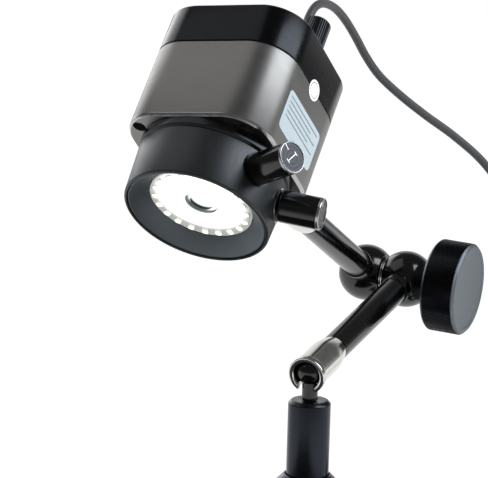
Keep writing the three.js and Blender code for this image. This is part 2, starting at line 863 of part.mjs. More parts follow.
function indicatorWindow() {
  const flangeTop = panelBottom - gap;
  const flangeRadius = windowRadius + windowFlange;
  const flangeBottom = flangeTop - windowFlangeThickness;
  return turned([
    [0, boardTop + gap], [windowRadius, boardTop + gap], [windowRadius, flangeBottom],
    [flangeRadius, flangeBottom], [flangeRadius, flangeTop], [windowRadius, flangeTop],
    [windowRadius, headTop], [windowRadius / 2, headTop + windowDome / 2], [0, headTop + windowDome],
  ], tinySides);
}

function mainBoard() {
  const outline = headOutline(capWall + gap);
  const board = solid(prism(outline, mainBoardHeight, boardTop));
  const sunk = boardTop - overrun;
  const parts = [
    ...buttonPlaces.map((place) => centredBlock(tactWidth, tactWidth, sunk, boardTop + tactHeight, place)),
    centredBlock(potWidth, potWidth, sunk, boardTop + potHeight, dialPlace),
    at(pin(dialShaftRadius, sunk, headTop + dialShaftReach, tinySides), dialPlace),
    centredBlock(switchBodyLength, switchBodyWidth, sunk, boardTop + switchBodyHeight, switchPlace),
  ].map(solid);
  const drilled = cut(board, ...screwHoles(bodyScrewRadius + gap, 0, headTop));
  return parts.reduce((whole, part) => whole.add(part), drilled);
}

function sensorBoard() {
  const low = sensorBoardHeight;
  const outline = roundedRectangle(sensorBoardWidth, sensorBoardWidth, sensorBoardCorner);
  const standoffs = screwPlaces.map(([x, y]) => at(
    pin(standoffRadius, bodyFloor + gap, low + gap, tinySides),
    [Math.sign(x) * standoffPlace, Math.sign(y) * standoffPlace]));
  const chip = centredBlock(sensorChipWidth, sensorChipDepth, low - sensorChipHeight, low + gap);
  return join(prism(outline, low, low + boardThickness), ...standoffs, chip);
}

// Barrel and optics

function turnedAbout(geometry, azimuth) {
  return geometry.rotateZ(THREE.MathUtils.degToRad(azimuth));
}

function radialPin(radius, near, far, depth, azimuth, sides = smallSides) {
  return turnedAbout(at(alongX(pin(radius, near, far, sides)), [0, 0, -depth]), azimuth);
}

function mountRing() {
  const spigotRadiusOuter = barrelBore - gap;
  const spigotLow = mountBottom - spigotDrop;
  const ring = solid(turned([
    [guideRadius + gap, mountBottom], [spigotRadiusOuter - spigotWall, mountBottom],
    [spigotRadiusOuter - spigotWall, spigotLow], [spigotRadiusOuter, spigotLow],
    [spigotRadiusOuter, mountBottom], [mountRadius - mountChamfer, mountBottom],
    [mountRadius, mountBottom + mountChamfer], [mountRadius, mountTop], [guideRadius + gap, mountTop],
  ], wideSides));
  return cut(ring, ...shaftHoles());
}

function shaftHoles() {
  const far = mountRadius + overrun;
  return [
    radialPin(shaftRadius + gap, guideRadius, far, focusShaftDepth, focusAzimuth),
    radialPin(shaftRadius + gap, guideRadius, far, zoomShaftDepth, zoomAzimuth),
  ];
}

function barrel() {
  const shell = solid(turned([
    [barrelBore, barrelTop], [barrelTopRadius, barrelTop], [barrelRimRadius, rimBevel - barrelRim],
    [barrelRimRadius - rimBevel, -barrelRim], [barrelBore, -barrelRim],
  ], wideSides));
  return cut(shell, ...shaftHoles());
}

function lightHood() {
  const outer = barrelBore - gap;
  const mouth = hoodSunk - barrelRim;
  const shelfLow = ledThickness + gap - ledDepth;
  const seat = ledRadius + gap;
  return turned([
    [outer, mouth], [outer, shelfLow + shelfThickness], [shelfBore, shelfLow + shelfThickness],
    [shelfBore, shelfLow], [seat, shelfLow], [seat, -ledDepth], [hoodMouth, mouth],
  ], wideSides);
}

function ledBoard() {
  const disc = turned([
    [ledHole, -ledDepth], [ledRadius, -ledDepth], [ledRadius, ledThickness - ledDepth],
    [ledHole, ledThickness - ledDepth],
  ], wideSides);
  const beads = Array.from({ length: beadCount }, (_, i) => turnedAbout(
    centredBlock(beadSize, beadSize, -ledDepth - beadHeight, gap - ledDepth, [beadCircle, 0]),
    (360 * i) / beadCount));
  return join(disc, ...beads);
}

// The slot that lets a carriage's arm out to its rack, beside the shaft that drives it
function armSlot(ringLow, azimuth) {
  const side = drivePitchRadius + rackFaceOffset;
  const slot = block(
    [guideBore - overrun, side - gap, -ringLow - driveTravel - gap],
    [guideRadius + overrun, side + rackThickness + gap, rackArmHeight - ringLow + driveTravel + gap]);
  return turnedAbout(slot, azimuth);
}

function guideTube() {
  const flangeTop = guideFlangeThickness;
  const tube = solid(turned([
    [guideBore, -guideEnd], [guideRadius, -guideEnd], [guideRadius, 0], [guideFlangeRadius, 0],
    [guideFlangeRadius, flangeTop], [guideBore, flangeTop],
  ], roundSides));
  return cut(tube, armSlot(focusRingLow, focusAzimuth), armSlot(zoomRingLow, zoomAzimuth));
}

function carriage(ringLow, ringHeight, shaftDepth, azimuth) {
  const low = -ringLow;
  const armTop = low + rackArmHeight;
  const side = drivePitchRadius + rackFaceOffset;
  const reach = driveTravel + rackMargin;
  const rackLow = Math.min(low, -shaftDepth - reach);
  const rackHigh = Math.max(armTop, reach - shaftDepth);
  const ring = turned([
    [carriageBore, low], [guideBore - gap, low], [guideBore - gap, low + ringHeight],
    [carriageBore, low + ringHeight],
  ], roundSides);
  const inRing = (carriageBore + guideBore) / 2;
  const arm = block([inRing, side, low], [rackOuter, side + rackThickness, armTop]);
  const rack = block([rackInner, side, rackLow], [rackOuter, side + rackThickness, rackHigh]);
  return join(ring, turnedAbout(arm, azimuth), turnedAbout(rack, azimuth));
}

// Both faces bulge by a rise; half way out to the edge a shallow sphere has kept this share of it
const midwayRiseShare = 0.75;

function lens(radius, low, high, rise) {
  return turned([
    [0, low - rise], [radius / 2, low - midwayRiseShare * rise], [radius, low], [radius, high],
    [radius / 2, high + midwayRiseShare * rise], [0, high + rise],
  ], smallSides);
}

function objectiveCell() {
  const outer = carriageBore - gap;
  const inner = outer - cellWall;
  const high = focusRingHeight - focusRingLow;
  return turned([
    [inner - cellLip, -cellFront], [outer, -cellFront], [outer, high], [inner, high],
    [inner, cellLip - cellFront], [inner - cellLip, cellLip - cellFront],
  ], roundSides);
}

function frontLens() {
  const radius = carriageBore - gap - cellWall - gap;
  const low = cellLip - cellFront + gap + lensRise;
  return lens(radius, low, low + frontLensThickness - 2 * lensRise, lensRise);
}

function rearLens() {
  const middle = zoomRingHeight / 2 - zoomRingLow;
  const half = rearLensThickness / 2 - lensRise;
  return lens(carriageBore - gap, middle - half, middle + half, lensRise);
}

function driveShaft(shaftDepth, knobEnd, azimuth) {
  const far = knobEnd - sideKnobFace - gap;
  return radialPin(shaftRadius, rackInner, far, shaftDepth, azimuth);
}

function sideKnob(shaftDepth, end, azimuth) {
  const r = sideKnobRadius;
  const knob = solid(turned([
    [0, sideKnobBase], [r - sideKnobRim / 2, sideKnobBase], [r, sideKnobBase + sideKnobRim / 2],
    [r, end - sideKnobRim / 2], [r - sideKnobRim / 2, end], [r - sideKnobRim, end],
    [r - sideKnobRim - sideKnobDish, end - sideKnobDish], [0, end - sideKnobDish],
  ], roundSides));
  const bored = cut(knob, pin(shaftRadius + gap, sideKnobBase - overrun, end - sideKnobFace));
  return bored.rotate([0, 90, 0]).translate([0, 0, -shaftDepth]).rotate([0, 0, azimuth]);
}

// Plugs and the lead

function headPlug() {
  const low = headTop + gap;
  const bodyTop = low + plugLength;
  const end = bodyTop + reliefLength;
  const neck = turned([
    [0, bodyTop - overrun], [reliefRadius, bodyTop - overrun], [reliefRadius, bodyTop],
    [reliefEndRadius, end], [0, end],
  ], smallSides);
  const tongue = prism(
    stadium(plugTongueWidth, plugTongueDepth), headTop - usbCavityDepth + 2 * gap, low + overrun);
  return join(
    bevelledPrism(roundedRectangle(plugWidth, plugDepth, plugCorner), low, bodyTop, plugCorner / 4),
    neck, tongue);
}

// The far plug lies on the table along -X, with its cord end at the origin and its middle at mid height
function farPlug() {
  const end = farReliefLength + farPlugLength;
  const tip = end + farShellLength;
  const relief = turned([
    [0, 0], [reliefEndRadius, 0], [reliefRadius, farReliefLength], [reliefRadius, farReliefLength + overrun],
    [0, farReliefLength + overrun],
  ], smallSides);
  const body = bevelledPrism(
    roundedRectangle(farPlugDepth, farPlugWidth, farPlugCorner), farReliefLength, end, farPlugCorner / 2);
  const shell = centredBlock(farShellDepth, farShellWidth, end - overrun, tip);
  const room = centredBlock(
    farShellDepth - 2 * farShellWall, farShellWidth - 2 * farShellWall, end + overrun, tip + overrun);
  const tongueLow = farShellWall - farShellDepth / 2;
  const tongueSide = farShellWidth / 2 - farShellWall;
  const tongue = block(
    [tongueLow, -tongueSide, end], [tongueLow + farTongueDepth, tongueSide, tip - farShellWall]);
  return cut(join(relief, body, shell), room).add(solid(tongue)).rotate([0, -90, 0]);
}

function cordRun() {
  const curve = new THREE.CatmullRomCurve3(
    cordRoute.map((point) => new THREE.Vector3(...point)), false, 'centripetal');
  return new THREE.ExtrudeGeometry(regularPolygon(cordRadius, cordSides), {
    steps: cordSteps, extrudePath: curve, curveSegments: 1,
  });
}

// Middle line of the coil, clockwise from above: in along the lower layer at a steady rate, up a layer
// in the half turn where the spiral reverses, and out along the upper one. The spiral reverses a little
// after half of its turns, so that the cord leaves the coil outside its lower layer.
const lateReversal = 0.125;
const climbTurns = 0.5;
const reversal = coilTurns / coilLayers + lateReversal;
const coilOuterRadius = coilMiddleRadius + (reversal * coilPitch) / 2;
const coilLow = tieThickness + gap + cordRadius;

function coilPoint(turns) {
  const inset = coilPitch * (turns < reversal ? turns : 2 * reversal - turns);
  const climbed = THREE.MathUtils.clamp((turns - reversal + climbTurns / 2) / climbTurns, 0, 1);
  const rise = (1 - Math.cos(Math.PI * climbed)) / 2;
  const radius = coilOuterRadius - inset;
  const angle = -2 * Math.PI * turns;
  return new THREE.Vector3(
    coilCentre[0] + radius * Math.cos(angle),
    coilCentre[1] + radius * Math.sin(angle),
    coilLow + coilPitch * rise);
}

function coilLine() {
  const start = coilPoint(0);
  const points = [new THREE.Vector3(start.x, start.y + coilLead, start.z)];
  const steps = Math.round(coilTurns * loopSteps);
  for (let i = 0; i <= steps; i += 1) points.push(coilPoint((coilTurns * i) / steps));
  const leaving = points.at(-1);
  for (let i = 1; i <= tailSteps; i += 1) {
    const share = i / tailSteps;
    const fall = (1 - Math.cos(Math.PI * share)) / 2;
    points.push(new THREE.Vector3(
      leaving.x - coilTail * share, leaving.y, leaving.z + (farPlugDepth / 2 - leaving.z) * fall));
  }
  const last = points.at(-1);
  points.push(new THREE.Vector3(last.x - 2 * cordRadius, last.y, last.z));
  return points;
}

// Least distance between stretches of the coil that lie at least half a loop apart, less the cord
function coilLeastGap(points) {
  const apart = loopSteps / 2;
  let least = Infinity;
  points.forEach((a, i) => {
    points.slice(i + apart).forEach((b) => {
      least = Math.min(least, a.distanceTo(b));
    });
  });
  return least - 2 * cordRadius;
}

function cableTie() {
  const inner = [
    coilOuterRadius - coilMiddleRadius, coilPitch / 2].map((half) => half + cordRadius + gap);
  const outer = inner.map((half) => half + tieThickness);
  const shape = roundedRectangle(2 * outer[0], 2 * outer[1], tieCorner + tieThickness);
  shape.holes.push(roundedRectangle(2 * inner[0], 2 * inner[1], tieCorner));
  const band = prism(shape, -tieWidth / 2, tieWidth / 2, 3);
  return band.rotateX(Math.PI / 2).translate(0, 0, outer[1]);
}

function buildLead(stand) {
  piece(stand, 'cord_run', cordRun(), cordRubber);
  const line = coilLine();
  console.log(`least gap in the coil: ${coilLeastGap(line).toFixed(2)} mm`);
  piece(stand, 'cord_coil', sweep(line, cordRadius, loopSides), cordRubber);
  [1, -1].forEach((side, i) => {
    const tie = piece(stand, `cord_tie_${i + 1}`, cableTie(), blackPlastic);
    tie.rotation.z = Math.PI / 4;
    const reach = side * coilMiddleRadius * Math.SQRT1_2;
    tie.position.set(coilCentre[0] + reach, coilCentre[1] + reach, 0);
  });
  const end = line.at(-1);
  const plug = piece(stand, 'usb_a_plug', farPlug(), blackPlastic);
  plug.position.set(end.x - gap, end.y, farPlugDepth / 2);
}

// Assembly

function group(parent, position = [0, 0, 0]) {
  const made = new THREE.Group();
  made.position.set(...position);
  parent.add(made);
  return made;
}

function turn(made, axis, degrees) {
  made.rotation[axis] = THREE.MathUtils.degToRad(degrees);
  return made;
}

function buildHead(head) {
  piece(head, 'head_body', headBody(), gunmetal);
  piece(head, 'top_cap', topCap(), blackSatin);
  piece(head, 'top_panel', topPanel(), blackSatin);
  screwPlaces.forEach(([x, y], i) => {
    piece(head, `body_screw_${i + 1}`, bodyScrew(), steel).position.set(x, y, 0);
  });
  piece(head, 'main_board', mainBoard(), boardGreen);
  piece(head, 'sensor_board', sensorBoard(), boardGreen);
  piece(head, 'usb_c_socket', usbSocket(), steel).position.set(...usbPlace, 0);
  piece(head, 'hdmi_socket', hdmiSocket(), steel).position.set(...hdmiPlace, 0);
  piece(head, 'round_jack', roundJack(), blackPlastic).position.set(...jackPlace, 0);
  piece(head, 'indicator_window', indicatorWindow(), ledWhite).position.set(...windowPlace, 0);
  buttonPlaces.forEach(([x, y], i) => {
    piece(head, `button_${i + 1}`, pushButton(), blackPlastic).position.set(x, y, 0);
  });
  piece(head, 'brightness_knob', brightnessKnob(), blackSatin).position.set(...dialPlace, 0);
  piece(head, 'slide_switch', slideSwitch(), blackPlastic)
    .position.set(switchPlace[0] + switchRest, switchPlace[1], 0);
  piece(head, 'mount_ring', mountRing(), blackSatin);
  piece(head, 'barrel', barrel(), blackSatin);
  piece(head, 'light_hood', lightHood(), hoodGrey);
  piece(head, 'led_board', ledBoard(), ledWhite);
  piece(head, 'guide_tube', guideTube(), blackPlastic);
  piece(head, 'focus_carriage',
    carriage(focusRingLow, focusRingHeight, focusShaftDepth, focusAzimuth), blackPlastic);
  piece(head, 'objective_cell', objectiveCell(), blackSatin);
  piece(head, 'front_lens', frontLens(), clearGlass);
  piece(head, 'zoom_carriage',
    carriage(zoomRingLow, zoomRingHeight, zoomShaftDepth, zoomAzimuth), blackPlastic);
  piece(head, 'rear_lens', rearLens(), clearGlass);
  piece(head, 'focus_shaft', driveShaft(focusShaftDepth, focusKnobEnd, focusAzimuth), steel);
  piece(head, 'focus_knob', sideKnob(focusShaftDepth, focusKnobEnd, focusAzimuth), blackGloss);
  piece(head, 'zoom_shaft', driveShaft(zoomShaftDepth, zoomKnobEnd, zoomAzimuth), steel);
  piece(head, 'zoom_knob', sideKnob(zoomShaftDepth, zoomKnobEnd, zoomAzimuth), blackGloss);
  piece(head, 'usb_c_plug', headPlug(), blackPlastic).position.set(...usbPlace, 0);
}

function buildMicroscope() {
  const microscope = new THREE.Group();
  buildStand(microscope);

  const ballJoint = turn(group(microscope, [...postPlace, lowerBallHeight]), 'z', swivelAngle);
  piece(ballJoint, 'lower_ball_stud', lowerBallStud(), blackSatin);

  const lowerArm = turn(group(turn(group(ballJoint), 'x', lowerRise)), 'y', rodTwist);
  buildArm(lowerArm, 'lower', 'front_hub', 1);
  piece(lowerArm, 'hub_bolt', hubBolt(), steel);
  piece(lowerArm, 'washer_front', washer(-hubInnerFlat - gap - washerThickness), steel);
  piece(lowerArm, 'washer_rear', washer(-hubInnerFlat - 2 * (gap + washerThickness)), steel);
  piece(lowerArm, 'clamp_knob', clampKnob(), darkMetal);

  const elbow = turn(group(lowerArm, [-hubSpacing, rodLength, 0]), 'x', elbowFold);
  const upperArm = group(elbow, [0, -rodLength, 0]);
  buildArm(upperArm, 'upper', 'rear_hub', -1);

  const headBall = turn(group(turn(group(upperArm), 'x', headTilt)), 'z', headLean);
  piece(headBall, 'head_ball_stud', headStud(), blackSatin);
  const head = group(turn(group(headBall), 'y', headRoll), [0, -studDistance, -studHeight]);
  buildHead(head);

  buildLead(microscope);
  return microscope;
}

export default buildMicroscope();
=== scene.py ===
"""Dresses a jointed desk microscope in its fine forms and finishes, with its lead and a studio.

Lengths are in metres. Sizes that the frame already holds are measured on its nodes; the rest are named here.
"""

import json
import math

import bmesh
import bpy
from bpy.props import FloatProperty, FloatVectorProperty, IntProperty, PointerProperty
from mathutils import Matrix, Vector


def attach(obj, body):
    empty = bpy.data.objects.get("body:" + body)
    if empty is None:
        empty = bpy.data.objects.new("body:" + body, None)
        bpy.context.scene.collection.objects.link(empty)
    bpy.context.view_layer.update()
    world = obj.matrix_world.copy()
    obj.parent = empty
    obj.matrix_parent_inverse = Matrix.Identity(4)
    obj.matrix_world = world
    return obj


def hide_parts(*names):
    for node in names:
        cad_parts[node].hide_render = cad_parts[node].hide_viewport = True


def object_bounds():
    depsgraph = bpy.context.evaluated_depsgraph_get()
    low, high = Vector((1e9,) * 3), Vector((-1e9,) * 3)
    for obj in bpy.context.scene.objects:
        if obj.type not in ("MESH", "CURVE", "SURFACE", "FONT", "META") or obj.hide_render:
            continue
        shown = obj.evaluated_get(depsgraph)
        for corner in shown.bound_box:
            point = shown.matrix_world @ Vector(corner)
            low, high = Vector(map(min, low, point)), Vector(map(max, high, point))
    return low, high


bl_info = {
    "name": "Desk Microscope Dresser",
    "version": (1, 0, 0),
    "blender": (4, 5, 0),
    "location": "View3D > Sidebar > Microscope",
    "description": "Builds the looks of a jointed desk microscope around its solids",
    "category": "Add Mesh",
}

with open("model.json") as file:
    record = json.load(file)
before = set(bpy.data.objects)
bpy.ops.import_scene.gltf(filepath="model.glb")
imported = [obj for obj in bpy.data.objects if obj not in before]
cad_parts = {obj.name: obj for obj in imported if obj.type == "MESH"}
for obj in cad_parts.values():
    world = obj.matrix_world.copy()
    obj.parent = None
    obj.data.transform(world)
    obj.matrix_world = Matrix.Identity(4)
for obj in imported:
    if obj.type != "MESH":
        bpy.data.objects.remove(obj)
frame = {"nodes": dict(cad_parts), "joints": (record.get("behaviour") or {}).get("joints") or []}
cad_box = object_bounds()
joints = {joint["name"]: joint for joint in frame["joints"]}

MM = 0.001
SHARP_ANGLE = math.radians(32)
ARC_STEP = math.radians(14)
WELD = 0.001 * MM


# Places in the frame


def point(joint):
    return Vector(joints[joint]["pos_m"])


def axis(joint):
    return Vector(joints[joint]["axis"]).normalized()


def placed(origin, x_axis, y_axis):
    """A place whose X and Y point along two axes that stand square to each other."""
    turn = Matrix((x_axis, y_axis, x_axis.cross(y_axis))).transposed()
    return Matrix.Translation(origin) @ turn.to_4x4()


def upright(origin, z_axis):
    """A place whose Z runs along an axis."""
    return Matrix.Translation(origin) @ z_axis.to_track_quat("Z", "Y").to_matrix().to_4x4()


def span(node, place=Matrix.Identity(4)):
    """The lowest and highest corner of a node, measured along the axes of that place."""
    inverse = place.inverted()
    corners = [inverse @ vertex.co for vertex in frame["nodes"][node].data.vertices]
    low = Vector(min(corner[i] for corner in corners) for i in range(3))
    high = Vector(max(corner[i] for corner in corners) for i in range(3))
    return low, high


def reach(node, place):
    """A turned node's largest radius about the Z axis of that place."""
    inverse = place.inverted()
    return max((inverse @ vertex.co).xy.length for vertex in frame["nodes"][node].data.vertices)


def hollow(node, place):
    """A turned node's smallest radius about the Z axis of that place."""
    inverse = place.inverted()
    return min((inverse @ vertex.co).xy.length for vertex in frame["nodes"][node].data.vertices)


def under_middle(node, x_axis, y_axis):
    """The point in the middle of a node's underside, for a node that lies along these axes."""
    turn = placed(Vector(), x_axis, y_axis)
    low, high = span(node, turn)
    return turn @ Vector(((low.x + high.x) / 2, (low.y + high.y) / 2, low.z))


HINGE = axis("clamp_turn")
HEAD_BACK = axis("head_roll")
HEAD_UP = axis("dial_turn")
HEAD_RIGHT = HEAD_BACK.cross(HEAD_UP)
HEAD = placed(under_middle("head_body", HEAD_RIGHT, HEAD_BACK), HEAD_RIGHT, HEAD_BACK)
LOWER_BALL = point("lower_tilt")
UPPER_BALL = point("head_tilt")
LOWER_ARM = placed(LOWER_BALL, HINGE, (point("clamp_turn") - LOWER_BALL).normalized())
UPPER_ARM = placed(UPPER_BALL, HINGE, (point("elbow") - UPPER_BALL).normalized())
STAND = Matrix.Translation((LOWER_BALL.x, LOWER_BALL.y, 0))


# Colours and nodes


def srgb(code):
    """A hex colour as linear red, green, blue and alpha."""
    parts = [int(code[i:i + 2], 16) / 255 for i in (1, 3, 5)]
    return (*(c / 12.92 if c <= 0.04045 else ((c + 0.055) / 1.055) ** 2.4 for c in parts), 1)


def add(tree, kind, settings=None, inputs=None):
    """Adds a node, sets its settings, and fills its inputs with values or other nodes' sockets."""
    made = tree.nodes.new(kind)
    for name, value in (settings or {}).items():
        setattr(made, name, value)
    for name, value in (inputs or {}).items():
        if isinstance(value, bpy.types.NodeSocket):
            tree.links.new(value, made.inputs[name])
        else:
            made.inputs[name].default_value = value
    return made


def colour_property(name, code, description):
    return FloatVectorProperty(
        name=name, description=description, subtype="COLOR", size=4, min=0, max=1, default=srgb(code))


def length_property(name, value, description):
    return FloatProperty(name=name, description=description, unit="LENGTH", default=value, precision=5)


class MicroscopeColours(bpy.types.PropertyGroup):
    gunmetal: colour_property("Gunmetal", "#858482", "Dye of the head's anodised body")
    anodised_black: colour_property("Anodised black", "#2A2B2E", "Dye of the cap")
    ring_black: colour_property("Ring black", "#3A3C3E", "Dye of the barrel's mount ring and the dial")
    barrel_black: colour_property("Barrel black", "#4A4C4E", "Dye of the barrel")
    hood_black: colour_property("Hood black", "#686E73", "Matt dye inside the light hood")
    enamel_black: colour_property("Enamel black", "#030304", "Gloss enamel of the rods and hubs")
    post_black: colour_property("Post black", "#35383F", "Dye of the post and the ball studs")
    plate_black: colour_property("Plate black", "#24262A", "Powder coat of the base plate")
    plastic_black: colour_property("Plastic black", "#191A1C", "Moulded plugs and keys")
    cord_grey: colour_property("Cord grey", "#37383A", "Sheath of the lead")
    rubber_black: colour_property("Rubber black", "#151515", "Anti-slip mat")
    steel: colour_property("Steel", "#B9BABC", "Screws, washers and connector shells")
    chrome: colour_property("Chrome", "#DCDCD6", "Plating of the two ball cups")
    # This grey is lighter than the knob's black: a painted sheen on the clamp knob's faces.
    knob_grey: colour_property("Knob grey", "#727A80", "Dye of the clamp knob's faces")
    board_green: colour_property("Board green", "#1B4A32", "Solder mask of the inner boards")
    board_white: colour_property("Board white", "#F7F8F5", "Glow of the light's board")
    board_grey: colour_property("Board grey", "#A6ABA6", "Solder mask of the light's board")
    lens_dark: colour_property("Lens dark", "#39423F", "Front lens where the glare spares it")
    lens_bloom: colour_property("Lens bloom", "#F3FBF8", "Glare of the light in the front lens")
    lens_coating: colour_property("Lens coating", "#C9D8E4", "Coating of the rear lens")
    paper: colour_property("Paper", "#F6F6F6", "The table under the stand")
    phosphor: colour_property("Phosphor", "#F3F7C8", "Phosphor of the light's beads")
    vinyl_white: colour_property("Vinyl white", "#A9B6BC", "Label on the side of the head")
    ink: colour_property("Ink", "#6F7A80", "Ruled bars printed on the label")
    mark_white: colour_property("Mark white", "#F2F2F0", "Filled marks on the knobs and the panel")


class MicroscopeSizes(bpy.types.PropertyGroup):
    edge_ease: length_property("Edge ease", 0.25 * MM, "Ease of the machined edges")
    body_lower_chamfer: length_property("Lower chamfer", 0.9 * MM, "Bright chamfer round the underside")
    seam_ease: length_property("Seam ease", 0.3 * MM, "Chamfer on both sides of the seam")
    cap_chamfer: length_property("Cap chamfer", 1 * MM, "Chamfer round the top of the cap")
    cap_rim: length_property("Cap rim", 1.7 * MM, "Width of the rim round the panel")
    head_corner: length_property("Head corner", 15.5 * MM, "Radius of the head's upright corners")
    screw_hole_radius: length_property("Screw hole", 2.5 * MM, "Radius of the holes under the body")
    screw_hole_depth: length_property("Screw hole depth", 5.5 * MM, "How far the body screws are sunk")
    screw_place: length_property("Screw place", 21.7 * MM, "Distance of the holes from the middle, both ways")
    knurl_depth: length_property("Knurl depth", 0.22 * MM, "Depth of the clamp knob's straight knurl")
    knurl_teeth: IntProperty(name="Knurl teeth", description="Teeth round the clamp knob", default=150)
    dial_teeth: IntProperty(name="Dial teeth", description="Teeth round the brightness dial", default=36)
    dial_tooth_depth: length_property("Dial tooth", 0.3 * MM, "Depth of the dial's teeth")
    rod_radius: length_property("Rod radius", 5.4 * MM, "Radius of both rod tubes")
    cord_diameter: length_property("Cord diameter", 3.3 * MM, "Outer diameter of the lead's sheath")
    label_width: length_property("Label width", 28 * MM, "Long side of the side label")
    label_height: length_property("Label height", 16.5 * MM, "Short side of the side label")
    seal_radius: length_property("Seal radius", 3.9 * MM, "Radius of the round seal over the seam")
    sticker_thickness: length_property("Sticker thickness", 0.12 * MM, "Thickness of the vinyl")
    bead_width: length_property("Bead width", 2.4 * MM, "Side of a light bead")
    bead_count: IntProperty(name="Bead count", description="Beads round the light", default=20)
    board_glow: FloatProperty(name="Board glow", description="Brightness of the lit white board", default=1.6)
    bead_glow: FloatProperty(name="Bead glow", description="Brightness of the lit beads", default=1.15)
    window_glow: FloatProperty(name="Window glow", description="Brightness of the indicator", default=0.1)


def sizes():
    return bpy.context.scene.microscope_sizes


def colours():
    return bpy.context.scene.microscope_colours


# Materials: each is named for what the real surface is


def new_material(name):
    """A material of that name with an empty node tree."""
    material = bpy.data.materials.get(name) or bpy.data.materials.new(name)
    material.use_nodes = True
    material.node_tree.nodes.clear()
    return material, material.node_tree


def finished(material, tree, shader):
    """Gives a material that shader for its surface."""
    add(tree, "ShaderNodeOutputMaterial", inputs={"Surface": shader.outputs[0]})
    return material


# Shares by which a noise's scale is taken along X, Y and Z: a small share draws its grains out that way
EVEN = (1, 1, 1)
AROUND = (0.08, 0.08, 1)
DOWN = (1, 1, 0.06)
NOISE_ROUGHNESS = 0.55
# Most of a noise lies between these values
NOISE_LOW = 0.3
NOISE_HIGH = 0.7
GRAIN = 0.5 * MM
PATCH = 14 * MM
GRAIN_SHARE = 0.6
# How far apart a wave texture's rings lie at a scale of 1
WAVE_LENGTH = math.pi / 10
RING_GAP = 1.57 * MM
METAL = {"Metallic": 1.0}
PLASTIC = {"IOR": 1.53}
COATED_GLASS = {"IOR": 1.52, "Coat Weight": 0.6, "Coat Roughness": 0.02}
# The light's glare, painted on as a glow, in the head's own measure: its middle, the radii where it starts
# and stops to fade, and how bright it is before and after
BOARD_GLARE_MIDDLE = (0.9 * MM, -2.2 * MM)
BOARD_BURNT = 14.6 * MM
BOARD_GREY = 18.4 * MM
BOARD_DIM = 0.2
LENS_GLARE_MIDDLE = (1.9 * MM, -1.7 * MM)
LENS_BURNT = 5.2 * MM
LENS_CLEAR = 6.6 * MM
LENS_BRIGHT = 1.3
LENS_DIM = 0.02


def object_noise(tree, feature, detail=2, stretch=EVEN):
    """Noise whose grains are about one feature wide on the object."""
    where = add(tree, "ShaderNodeTexCoord")
    scaled = add(tree, "ShaderNodeMapping", inputs={"Vector": where.outputs["Object"], "Scale": stretch})
    noise = add(tree, "ShaderNodeTexNoise", inputs={
        "Vector": scaled.outputs["Vector"], "Scale": 1 / feature, "Detail": detail,
        "Roughness": NOISE_ROUGHNESS})
    return noise.outputs["Fac"]


def shaded(material, tree, colour, roughness, mottle=None, relief=None, tint=None, bump=None, extra=None):
    """Finishes a material. The mottle lightens and darkens its colour by the two shares of the tint. The
    relief drives a roughness given as two ends, and the bump, which is a strength and a depth."""
    looks = {"Base Color": colour, "Roughness": roughness, **(extra or {})}
    if tint:
        light, dark = tint
        looks["Base Color"] = add(tree, "ShaderNodeMix", {"data_type": "RGBA"}, {
            "Factor": mottle,
            "A": (*(c * dark for c in colour[:3]), 1),
            "B": (*(min(1, c * light) for c in colour[:3]), 1),
        }).outputs["Result"]
    if isinstance(roughness, tuple):
        low, high = roughness
        looks["Roughness"] = add(tree, "ShaderNodeMapRange", inputs={
            "Value": relief, "From Min": NOISE_LOW, "From Max": NOISE_HIGH, "To Min": low, "To Max": high,
        }).outputs["Result"]
    if bump:
        strength, depth = bump
        looks["Normal"] = add(tree, "ShaderNodeBump", inputs={
            "Height": relief, "Strength": strength, "Distance": depth}).outputs["Normal"]
    return finished(material, tree, add(tree, "ShaderNodeBsdfPrincipled", inputs=looks))


def grained(name, colour, grain, roughness, detail=2, stretch=EVEN, **looks):
    """A material whose colour, roughness and bump follow one noise, with grains of that width."""
    material, tree = new_material(name)
    noise = object_noise(tree, grain, detail, stretch)
    return shaded(material, tree, colour, roughness, noise, noise, **looks)


def anodised_aluminium(name, colour, roughness, brushed=EVEN):
    """Blasted or brushed and dyed aluminium: a soft metal sheen broken up by a fine grain, which is drawn
    out the way the brush went where one of the shares is small. It is coarser than the real grain, so that
    it shows."""
    material, tree = new_material(name)
    grain = object_noise(tree, GRAIN, 3, brushed)
    patches = object_noise(tree, PATCH)
    mottle = add(tree, "ShaderNodeMix", inputs={"Factor": GRAIN_SHARE, "A": patches, "B": grain})
    return shaded(
        material, tree, colour, (roughness - 0.05, roughness + 0.05), mottle.outputs["Result"], grain,
        tint=(1.09, 0.91), bump=(0.14, 0.02 * MM), extra=METAL)


def turned_aluminium(name, colour, roughness):
    """Lathe-turned and dyed aluminium: a little wear, and faint rings that follow the cutter, further apart
    than the real ones, so that they show."""
    material, tree = new_material(name)
    where = add(tree, "ShaderNodeTexCoord")
    rings = add(tree, "ShaderNodeTexWave", {"wave_type": "RINGS", "rings_direction": "Z"}, {
        "Vector": where.outputs["Object"], "Scale": WAVE_LENGTH / RING_GAP, "Distortion": 0.6, "Detail": 2})
    wear = object_noise(tree, 6 * MM, 4)
    return shaded(
        material, tree, colour, (roughness - 0.03, roughness + 0.05), wear, rings.outputs["Fac"],
        tint=(1.08, 0.92), bump=(0.08, 0.02 * MM), extra=METAL)


def gloss_enamel(name, colour):
    """Baked enamel over steel: a deep black that mirrors its surroundings, with a trace of orange peel."""
    return grained(name, colour, 1.6 * MM, (0.13, 0.17), bump=(0.05, 0.03 * MM), extra={"IOR": 1.6})


def chrome_plate(name, colour):
    """Polished chrome plate: a mirror with the faintest haze from the polishing wheel."""
    return grained(name, colour, 0.9 * MM, (0.12, 0.2), 4, (1, 1, 0.2), extra=METAL)


